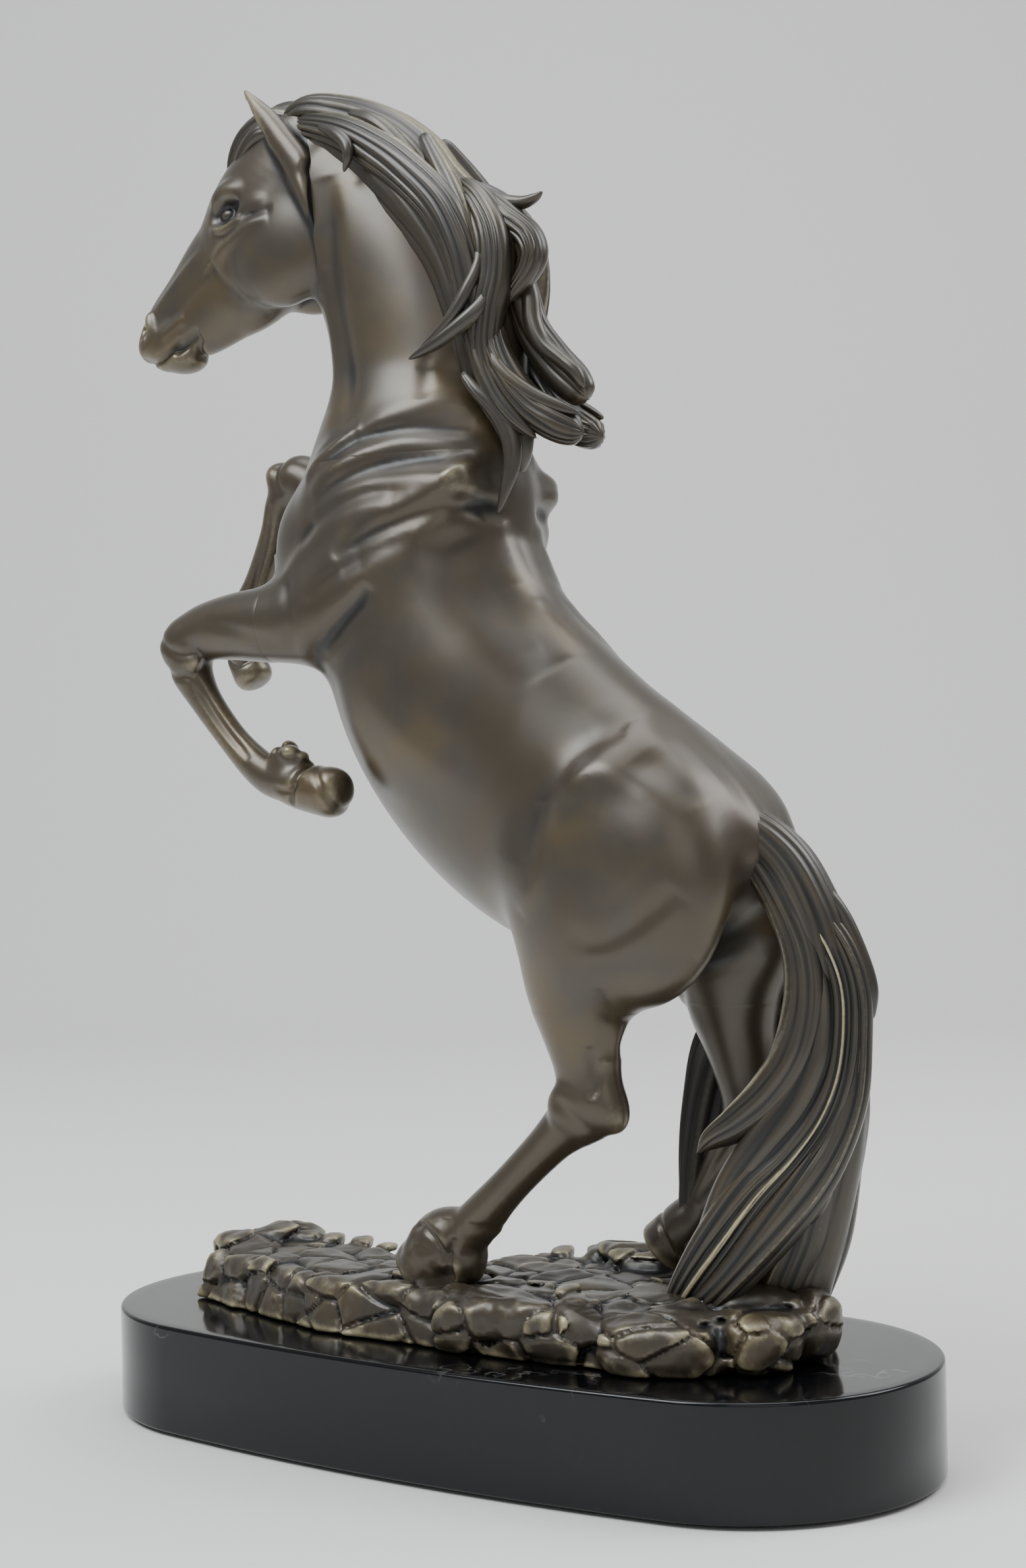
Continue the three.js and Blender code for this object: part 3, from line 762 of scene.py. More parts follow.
def bronze(name, gloss=0.36, wear_and_highlight=0.5, dirt_and_shade=1.0, olive=0.6, grain=0.03, shade=1.0):
    """
    Patinated bronze: umber and smoke brown in wide clouds, olive where hands touch, near black
    where the marks say hollow, as soot patina and as painted shade, and pale brass where they say
    ridge, as wear and as painted highlight.
    """
    material, tree, shader, place = new_finish(name)
    fine = add_node(tree, "Attribute", {"attribute_name": "fine"}, "Fac")
    broad = add_node(tree, "Attribute", {"attribute_name": "broad"}, "Fac")
    clouds = noise(place, 34, 2.0, 0.5, 1.7)
    patches = noise(place, 9, 4.0, 0.6, 5.1)
    specks = noise(place, 1.3, 3.0, 0.6, 8.4)
    umber, smoke = (tuple(shade * c for c in tone[:3]) + (1.0,) for tone in (UMBER, SMOKE))
    skin_colour = clouds.span(0.38, 0.62).mix(umber, smoke)
    touched = (clouds * 0.8 + patches * 0.2 + (0.5 - broad).math("MINIMUM", 0.12) * 0.5).span(0.46, 0.72)
    skin_colour = (touched * olive).mix(skin_colour, OLIVE)
    # Ridges go towards pale brass, as wear and as painted highlight.
    ridge = (0.5 - fine + (specks - 0.5) * 0.10).span(0.06, 0.22)
    skin_colour = (ridge * wear_and_highlight).mix(skin_colour, BRASS_AND_HIGHLIGHT)
    # Hollows go towards near black, as soot patina and as painted shade that deepens the shadows there.
    hollow = ((fine - 0.5) * 1.3 + (broad - 0.5) * 1.1 + (patches - 0.5) * 0.06).span(0.015, 0.17)
    skin_colour = (hollow * (0.85 * dirt_and_shade)).mix(skin_colour, SOOT_AND_SHADE)
    plug(tree, shader.inputs["Base Color"], skin_colour)
    shader.inputs["Metallic"].default_value = 0.45
    roughness = gloss + (patches - 0.5) * 0.14 + hollow * 0.2 + (specks - 0.5) * 0.05
    plug(tree, shader.inputs["Roughness"], roughness)
    shader.inputs["Coat Weight"].default_value = 0.6
    shader.inputs["Coat Roughness"].default_value = 0.34
    bump = tree.nodes.new("ShaderNodeBump")
    bump.inputs["Strength"].default_value = 0.35
    bump.inputs["Distance"].default_value = grain * MM
    plug(tree, bump.inputs["Height"], specks + patches * 1.5)
    tree.links.new(bump.outputs[0], shader.inputs["Normal"])
    return material


SKIN_BRONZE = bronze("skin_bronze", wear_and_highlight=0.28, dirt_and_shade=1.1)
HAIR_BRONZE = bronze("hair_bronze", wear_and_highlight=0.7, dirt_and_shade=1.15, olive=0.4, shade=0.78)
# The tail's far curtain: the same bronze at 0.4 of its brown, with little brass and olive, darkened as
# painted shade, since it lies in the shadow of the near fall.
PAINTED_SHADE_BRONZE = bronze(
    "painted_shade_bronze", gloss=0.5, wear_and_highlight=0.15, dirt_and_shade=1.1, olive=0.1, grain=0.05, shade=0.4
)
GROUND_BRONZE = bronze("ground_bronze", gloss=0.46, dirt_and_shade=1.15, olive=0.5, grain=0.10, shade=0.78)


# %% The black marble, the felt and the steel
def marble():
    """Polished black marble: charcoal with faint grey veins where a warped noise crosses a half."""
    material, tree, shader, place = new_finish("black_marble")
    warp = noise(place, 60, 5.0, 0.6, 2.2)
    vein = (warp - 0.5).math("ABSOLUTE").span(0.006, 0.0)
    patchy = noise(place, 45, 2.0, 0.5, 9.0).span(0.52, 0.62)
    stone = noise(place, 4, 4.0, 0.6, 3.3).mix(colour(9, 10, 12), colour(20, 21, 24))
    plug(tree, shader.inputs["Base Color"], (vein * patchy * 0.5).mix(stone, colour(120, 120, 120)))
    plug(tree, shader.inputs["Roughness"], 0.10 + noise(place, 20, 2.0, 0.5, 4.0) * 0.06)
    shader.inputs["Specular IOR Level"].default_value = 0.32
    shader.inputs["Coat Weight"].default_value = 0.1
    shader.inputs["Coat Roughness"].default_value = 0.05
    return material


def plain(name, shade, roughness, metallic):
    """A finish that is the same all over, but for a little noise in its colour."""
    material, tree, shader, place = new_finish(name)
    darker = tuple(0.7 * c for c in shade[:3]) + (1.0,)
    plug(tree, shader.inputs["Base Color"], noise(place, 1.5, 3.0, 0.6, 1.0).mix(darker, shade))
    shader.inputs["Roughness"].default_value = roughness
    shader.inputs["Metallic"].default_value = metallic
    return material


MARBLE = marble()
FELT = plain("green_felt", colour(44, 66, 48), 0.95, 0.0)
STEEL = plain("zinc_steel", colour(170, 170, 168), 0.38, 1.0)


# %% [markdown]
# ## The castings of the horse
#
# Each casting is its own block of clay, as fine as its detail needs. The block is massed and chased
# as a whole horse would be, so that neighbours agree, and then trimmed at its seams. One block for
# the whole horse would have to be as fine as the eye everywhere, and would be slow and heavy.

# %% Seams between the castings
NECK_SEAM = ((-24, 0, 272), (0, 0, 1))
THROAT_SEAM = ((-53, 0, 335), (-0.994, 0, -0.112))
LEFT_ARM_SEAM = ((-60, -24, 228), (-1, 0, 0))
RIGHT_ARM_SEAM = ((-66, 23, 260), (-0.8, 0, 0.6))
GASKIN_SEAM = ((41, 0, 120), (0, 0, -1))
LEFT_KNEE_UNDER, RIGHT_KNEE_UNDER, THROAT_UNDER = 205, 240, 303
BREAST = 12  # half the width of breast that stays with the trunk


def over(seam, height):
    """A seam that cuts only above a height."""
    return (*seam, (-FAR_OFF, -FAR_OFF, height))


def turned(seam):
    """The same seam seen from the casting beyond it."""
    point, normal = seam
    return point, tuple(-n for n in normal)


def finish_clay(clay, name, node, material, broad_reach=6.0, seams=()):
    """Marks how hollow each place of the clay is, trims its seams, skins it, and fixes the mesh to the
    frame's body in place of its node, with the given finish.
    """
    fine, broad = hollowness(clay, FINE_REACH), hollowness(clay, broad_reach)
    for seam in seams:
        clay.trim(*seam)
    points, faces = skin(clay)
    marks = {"fine": sample(fine, clay, points), "broad": sample(broad, clay, points)}
    hand_in(make_piece(name, points, faces, marks), node, material)


def cast(name, node, low, high, step, seams, detail=None, shins=True, trunk_above=None):
    """
    Masses and chases one casting, and finishes it. Below trunk_above a foreleg's block holds the
    leg alone, because the belly and breast there belong to the trunk's casting.
    """
    clay = Clay(low, high, step * (1.0))
    mass(clay, shins=shins)
    if trunk_above:
        leg = Clay(low, high, clay.step)
        mass(leg, trunk=False)
        clay.field = np.where(clay.axes[2] > trunk_above, clay.field, leg.field)
    chase(clay)
    if detail:
        detail(clay)
    finish_clay(clay, name, node, SKIN_BRONZE, seams=seams)


# %% The trunk
cast(
    "torso", "torso_casting", (-72, -40, 110), (92, 40, 282), 1.0,
    [
        NECK_SEAM,
        (*LEFT_ARM_SEAM, (-FAR_OFF,) * 3, (FAR_OFF, -BREAST, FAR_OFF)),
        (*RIGHT_ARM_SEAM, (-FAR_OFF, BREAST, -FAR_OFF), (FAR_OFF,) * 3),
        GASKIN_SEAM,
    ],
    shins=False,
)

# %% The neck
cast(
    "neck", "neck_casting", (-72, -28, 262), (16, 28, 374), 0.75,
    [turned(NECK_SEAM), over(THROAT_SEAM, THROAT_UNDER)],
)


# %% [markdown]
# The head is the finest work on the statue, so its block has the smallest step. Brow, eye, cheek,
# nostril and chin are balls of clay pushed in or scooped out, and the lids, the mouth and the veins
# are strokes. The left ear is pricked and the right one lies forward. A lofted head would need its
# sections bent round every one of these, and clay takes them in any order.

# %% The ears, as an outer tube and the hollow in it, by side
EARS = {
    -1: (
        [(-56, 11, 360, 3.4, 3.4), (-63.5, 10.5, 367.5, 3.9, 3.5), (-70, 9.6, 374.5, 3.7, 3.1),
         (-75, 9, 380, 2.6, 2.3), (-79.5, 8.6, 385.5, 0.7, 0.7)],
        [(-70.5, 11.5, 370, 1.2, 1.4), (-75, 10.5, 376.5, 1.6, 1.4), (-78.5, 9.6, 382, 0.6, 0.6)],
    ),
    1: (
        [(-62, 9, 366, 4, 3.6), (-71, 11, 372, 4, 3.3), (-80, 13, 375, 2.8, 2.3),
         (-87, 14, 375, 0.7, 0.7)],
        [(-76, 11, 369, 1.5, 1.2), (-82, 13, 372, 1.5, 1.4), (-86, 14, 373, 0.6, 0.6)],
    ),
}


# %% The head
def head_detail(clay):
    """Eyes under their brows, the cheek, the nostrils, the mouth and the ears, on both sides."""
    for side in (-1, 1):
        clay.carve(ball(clay, (-87.5, 12.6 * side, 351.2), (7.4, 4.6, 4.2), 14), 1.6)
        clay.join(ball(clay, (-87.4, 7.3 * side, 350.4), (2.9, 2.5, 2.3)), 0.5)
        clay.join(ball(clay, (-84.6, 9.2 * side, 356.9), (6.2, 3.2, 3.1), -6), 2.2)
        clay.join(ball(clay, (-90.4, 7.6 * side, 355.4), (3.4, 3.0, 3.0), 20), 2.0)
        clay.join(ball(clay, (-73, 10.2 * side, 351.6), (4.4, 2.4, 2.4), 0), 1.8)
        clay.join(ball(clay, (-65, 8.7 * side, 337), (15, 6.2, 14.5)), 3)
        clay.carve(ball(clay, (-125.2, 6.2 * side, 321), (1.6, 2.6, 3.2), 0), 0.9)
        clay.join(ball(clay, (-121.5, 5.4 * side, 321.5), (2.0, 2.2, 5), 10), 1.6)
    clay.join(ball(clay, (-123.5, 0, 316.5), (6, 6.6, 5.2), 10), 2)
    clay.join(ball(clay, (-112.5, 0, 311.8), (7.5, 5.4, 4.4), 0), 1.6)
    stroke(clay, [(-93, 337), (-88, 340), (-82, 342.5), (-75, 345), (-68, 347.5)], 2.0, 1.0, 2.8)
    stroke(clay, [(-95, 337), (-92, 333), (-87, 328), (-81, 322)], 2.4, -0.8, 4.0)
    stroke(clay, [(-120, 326), (-114, 332), (-107, 337), (-98, 342)], 1.6, 0.6, 2.4)
    stroke(clay, [(-119, 321), (-110, 326), (-102, 331), (-95, 334)], 2.6, -0.5, 2.6)
    stroke(clay, [(-94, 347.5), (-88, 345.9), (-81, 347.2), (-75, 349)], 0.9, 0.55, 1.4)
    stroke(clay, [(-92, 345.0), (-86, 343.6), (-79, 345.2)], 1.0, -0.4, 1.2)
    stroke(clay, [(-80, 348.6), (-76, 348.2), (-71, 348), (-66, 348.4)], 1.3, -0.6, 1.5)
    stroke(clay, [(-127, 312.6), (-121, 311.6), (-115, 313.0), (-109, 317)], 0.8, -1.3, 1.0)
    stroke(clay, [(-113, 312.5), (-108, 315.5), (-102, 318.5)], 1.2, -1.3, 1.2)
    stroke(clay, [(-117, 318), (-112, 321), (-107, 323)], 1.6, 0.5, 1.8)
    stroke(clay, [(-105.5, 310), (-104.5, 314), (-102, 317)], 1.0, -1.0, 1.0)
    stroke(clay, [(-126, 325), (-123.5, 322), (-122.5, 317.5)], 0.8, -0.9, 0.8)
    for side, (ear, inside) in EARS.items():
        clay.join(tube(clay, both(ear, side)), 1.5)
        clay.carve(tube(clay, both(inside, side)), 0.8)
    band = [
        (-66, -10, 368, 2, 2), (-58, -12, 358, 3, 2.5), (-51, -13, 347, 3, 2.5), (-47, -12, 337, 2, 2),
    ]
    clay.join(tube(clay, band), 2.5)


cast(
    "head", "head_casting", (-134, -19, 302), (-40, 19, 388), 0.5,
    [turned(THROAT_SEAM)], head_detail,
)


# %% [markdown]
# A foreleg's casting starts at the middle of the forearm, where the seam is easiest to weld and
# file. Knee, fetlock and pastern are small balls on the tapered tubes, the tendon is a groove, and
# the hoof is a cone that a plane cuts off at the sole. Lofted tubes alone would look like pipes.

# %% The forelegs
def hoof(clay, ankle, coronet, sole, sizes, ease=0.8, across=(0, 1, 0)):
    """A hoof: a cone that widens from the coronet to the sole, where a plane cuts it flat."""
    ankle, coronet, sole = (np.asarray(p, float) for p in (ankle, coronet, sole))
    beyond = sole + (sole - coronet) * 0.6
    stations = [
        (*ankle, sizes[0] * 0.72, sizes[1] * 0.72),
        (*coronet, sizes[0] * 0.86, sizes[1] * 0.88),
        (*sole, sizes[0], sizes[1]),
        (*beyond, sizes[0] * 1.1, sizes[1] * 1.05),
    ]
    part, distance = tube(clay, stations, across)
    x, y, z = clay.points(part, sole)
    a, b, c = unit(sole - coronet)
    flat = x * a + y * b + z * c
    return part, -soft_min(-distance, -flat, ease)


def left_foreleg_detail(clay):
    """The knee's bones, the cannon's tendon, the feathered fetlock and the hoof."""
    clay.join(ball(clay, (-95, -24, 222), (4.5, 6.5, 5.5), 60), 3)
    clay.join(ball(clay, (-88, -28.5, 219), (4, 2.5, 4.5)), 2)
    stroke(clay, [(-99, 226), (-94, 222), (-88, 220), (-83, 221)], 1.2, -0.7, 1.6)
    stroke(clay, [(-98, 217), (-93, 214), (-87, 214)], 1.1, -0.6, 1.4)
    stroke(clay, [(-88, 214), (-81, 204), (-74, 196), (-66, 189)], 1.1, -0.9, 1.1)
    clay.join(hoof(clay, (-57, -24, 183), (-50, -24, 181), (-34.5, -24, 178.5), (7.6, 7.4), 7.0), 1.5)
    clay.join(ball(clay, (-55, -24, 187.5), (5, 4.6, 5.0), 20), 2)
    for k, (x, z) in enumerate([(-59, 190), (-56, 192), (-53, 191), (-51, 189), (-50, 186)]):
        clay.join(ball(clay, (x, -24 + 2.0 * math.sin(2.1 * k), z), (2.0, 2.8, 2.6), 40 * k), 0.8)
    stroke(clay, [(-46, 189), (-48, 183), (-50, 176)], 0.8, -1.3, 0.8)
    stroke(clay, [(-43, 187), (-38, 180), (-36, 173)], 1.0, -0.5, 1.0)
    stroke(clay, [(-56, 181), (-50, 180), (-45, 183)], 0.8, -0.7, 1.0)


def right_foreleg_detail(clay):
    """The same leg on the other side, folded the other way up."""
    clay.join(ball(clay, (-95, 24, 276), (4.5, 6.5, 5.5), 40), 3)
    stroke(clay, [(-92, 282), (-93, 276), (-90, 270)], 1.2, -0.7, 1.6)
    stroke(clay, [(-96, 268), (-99, 258), (-104, 246), (-108, 236)], 1.1, -0.8, 1.1)
    clay.join(hoof(clay, (-114, 24, 226), (-112.5, 24, 222), (-107, 24, 213), (6.4, 6.4), 5.0), 1.0)
    clay.join(ball(clay, (-108, 24, 227), (4, 4.4, 4.4), 20), 2)
    stroke(clay, [(-117, 222), (-111, 219), (-106, 221)], 0.8, -1.0, 0.8)


cast(
    "left_foreleg", "left_foreleg_casting", (-108, -38, 164), (-24, -10, 248), 0.55,
    [over(turned(LEFT_ARM_SEAM), LEFT_KNEE_UNDER)], left_foreleg_detail, trunk_above=LEFT_KNEE_UNDER,
)
cast(
    "right_foreleg", "right_foreleg_casting", (-126, 10, 200), (-56, 38, 294), 0.6,
    [over(turned(RIGHT_ARM_SEAM), RIGHT_KNEE_UNDER)], right_foreleg_detail, trunk_above=RIGHT_KNEE_UNDER,
)


# %% [markdown]
# The hind legs carry the statue. The left hoof stands flat and the right one on its toe. They are
# made as the forelegs are, with the hock's cap drawn out to a point behind.

# %% The hind legs
def left_hind_detail(clay):
    """The hock's cap and tendon, the fetlock with its tuft, and the hoof flat on the rock."""
    clay.join(ball(clay, (46.5, -17, 95), (4.5, 4.6, 6.5), 20), 3)
    clay.join(ball(clay, (35, -21.5, 96), (5, 3, 5)), 3)
    stroke(clay, [(44, 112), (45, 104), (44, 98)], 1.5, -0.9, 1.5)
    stroke(clay, [(33, 98), (38, 94), (44, 88)], 2.0, -0.7, 2.4)
    stroke(clay, [(38, 86), (28, 78), (17, 68), (8, 60)], 1.3, -0.8, 1.3)
    clay.join(hoof(clay, (-5, -16, 57), (-10, -15.5, 54), (-15.5, -15, 44.5), (11.5, 10), 2.5), 1.5)
    clay.join(ball(clay, (-3, -16, 50), (6.0, 7.0, 6.5), 0), 2.0)
    clay.join(ball(clay, (0.5, -16, 52), (3.2, 4.6, 6.5), 0), 1.0)
    clay.carve(ball(clay, (-4.5, -25, 46.5), (3.4, 4.2, 3.0), 0), 1.2)
    stroke(clay, [(-17, 59), (-12, 60), (-7, 57), (-4, 52)], 0.9, -1.0, 0.9)
    stroke(clay, [(-1.5, 58), (-3, 52), (-2.5, 46)], 1.0, -0.9, 1.0)
    whole = clay.window((-30, -40, 40), (10, 10, 62))
    clay.field[whole] += 0.35 * cloud(clay, whole, 3.0, 5)


def right_hind_detail(clay):
    """The other hind leg, whose hoof stands on its toe."""
    clay.join(ball(clay, (73, 22, 94), (4.2, 4.6, 6), 20), 3)
    stroke(clay, [(66, 86), (59, 77), (52, 66)], 1.3, -0.7, 1.3)
    clay.join(hoof(clay, (49, 22, 61.5), (46, 22, 58), (39.5, 22, 51), (9.2, 8.8)), 1.0)
    clay.join(ball(clay, (47, 22, 56), (4.6, 5.4, 5), 0), 2)
    stroke(clay, [(37, 64), (42, 58), (46, 51)], 0.8, -0.8, 0.8)


cast(
    "left_hind_leg", "left_hind_leg_casting", (-32, -36, 40), (66, 2, 132), 0.6,
    [turned(GASKIN_SEAM)], left_hind_detail,
)
cast(
    "right_hind_leg", "right_hind_leg_casting", (22, 8, 40), (88, 36, 132), 0.6,
    [turned(GASKIN_SEAM)], right_hind_detail,
)

# %% [markdown]
# ## Hair
#
# Hair is laid on lock by lock. A lock is a section carried along a path: an oval, wide one way and
# thin the other, whose rim is cut into strands that run the lock's length and gather at its tip.
# Lofted locks keep each strand crisp where a block of clay would need to be far finer.

# %% A lock of hair
def lock(stations, face, strands, relief, seed, rings=56):
    """
    A closed lock on a smooth path through stations of x, y, z, half thickness and half width. With
    a the angle round the section and t the way along, a point is the path, plus cos a half widths
    across, plus sin a half thicknesses towards the face, moved out by the strands: the |sin| of a
    count across the lock, which slow waves draw wider and narrower, each strand with a height of
    its own, and a finer comb that shows in patches.
    """
    rng = np.random.default_rng(seed)
    phase = rng.uniform(0, 2 * math.pi, 8)
    heights = rng.uniform(0.45, 1.0, 64)
    path = smooth_path(stations, 10)
    length = np.concatenate([[0], np.cumsum(np.linalg.norm(np.diff(path[:, :3], axis=0), axis=1))])
    t = np.linspace(0, 1, rings)
    even = np.stack([np.interp(t * length[-1], length, path[:, k]) for k in range(5)], 1)
    along = np.gradient(even[:, :3], axis=0)
    along /= np.linalg.norm(along, axis=1, keepdims=True)
    across = np.cross(np.asarray(face, float), along)
    across /= np.linalg.norm(across, axis=1, keepdims=True)
    out = np.cross(along, across)
    sides = int(np.clip(26 * strands, 48, 200))
    angle = np.linspace(0, 2 * math.pi, sides, endpoint=False)[None, :]
    t = t[:, None]
    v = np.cos(angle) + 0 * t
    warp = 0.17 * np.sin(2.3 * v + 2.6 * t + phase[0]) + 0.07 * np.sin(5.1 * v - 4.0 * t + phase[1])
    place = math.pi / 2 * strands * (v + warp) + phase[2] + 20 * math.pi
    comb = np.abs(np.sin(place)) ** 0.7
    height = heights[np.floor(place / math.pi).astype(int) % 64]
    drift = np.sin(3.3 * v + 6 * t + phase[3]) * np.sin(2.1 * v - 5 * t + phase[4])
    patch = np.clip(0.4 + 0.7 * drift, 0, 1)
    fine = np.abs(np.sin(3.0 * place + 3 * t + phase[5]))
    ridge = 0.7 * (height * comb - 0.5) + 0.3 * (fine - 0.64) * patch
    thick, wide = even[:, 3:4], even[:, 4:5]
    rounding = np.sqrt(np.clip(1 - (1 - np.clip(t / 0.06, 0, 1)) ** 2, 0, 1))
    closing = np.sqrt(np.clip(1 - (1 - np.clip((1 - t) / 0.05, 0, 1)) ** 2, 0, 1))
    size = rounding * closing
    rise = relief * ridge * np.clip(wide / 4, 0.2, 1) * size
    nx, ny = v / wide, np.sin(angle) / thick
    norm = np.sqrt(nx**2 + ny**2)
    u = v * wide * size + rise * nx / norm
    w = np.sin(angle) * thick * size + rise * ny / norm
    points = even[:, None, :3] + u[..., None] * across[:, None, :] + w[..., None] * out[:, None, :]
    # The colour mark for the bronze: low on strand crests, which take worn brass and painted highlight,
    # high in the grooves, which take dark patina and painted shade, and lowered by the last term at the
    # lock's two edges, a painted highlight along each rim.
    strand_patina_and_painted_light = 0.5 - 0.34 * (ridge - 0.06) * np.clip(relief, 0.5, 2.0) - 0.05 * v**8
    return points, strand_patina_and_painted_light


def grid_faces(rings, sides, first=0):
    """The four-sided faces of rings of points, each ring closed on itself."""
    i = np.arange(rings - 1)[:, None] * sides
    j = np.arange(sides)[None, :]
    k = (j + 1) % sides
    return first + np.stack([i + j, i + k, i + sides + k, i + sides + j], -1).reshape(-1, 4)


def hair_piece(name, node, locks, material=None):
    """Joins locks into one piece. Each end of a lock is drawn to a point, so each lock is closed."""
    points, faces, marks, first = [], [], [], 0
    for grid, mark in locks:
        rings, sides = mark.shape
        grid[0] = grid[0].mean(0)
        grid[-1] = grid[-1].mean(0)
        inner = grid[1:-1].reshape(-1, 3)
        poles = np.stack([grid[0, 0], grid[-1, 0]])
        body = grid_faces(rings - 2, sides, first)
        start, end = first + len(inner), first + len(inner) + 1
        j = np.arange(sides)
        k = (j + 1) % sides
        last = first + (rings - 3) * sides
        caps = [
            np.stack([np.full(sides, start), first + k, first + j, first + j], 1),
            np.stack([np.full(sides, end), last + j, last + k, last + k], 1),
        ]
        points += [inner, poles]
        faces += [body, *caps]
        marks += [mark[1:-1].ravel(), [0.5, 0.5]]
        first += len(inner) + 2
    points = np.concatenate(points)
    faces = np.concatenate(faces)
    marks = np.concatenate(marks)
    mesh = bpy.data.meshes.new(name)
    real = [tuple(dict.fromkeys(face)) for face in faces.tolist()]
    mesh.from_pydata((points * MM).tolist(), [], real)
    mesh.attributes.new("fine", "FLOAT", "POINT").data.foreach_set("value", marks.astype(np.float32))
    flat = np.full(len(marks), 0.5, np.float32)
    mesh.attributes.new("broad", "FLOAT", "POINT").data.foreach_set("value", flat)
    mesh.shade_smooth()
    piece = bpy.data.objects.new(name, mesh)
    bpy.context.scene.collection.objects.link(piece)
    hand_in(piece, node, material or HAIR_BRONZE)
    return piece


# %% [markdown]
# The mane springs from the crest, sweeps back and down over the left of the neck, and flies out
# behind in a hook and two broad tongues. Thin loose locks cross the neck and the withers.

# %% The mane
LEFT = (0, -1, 0)
OUTWARD = (0.35, -0.94, 0)
REAR_LEFT = (0.57, -0.82, 0)

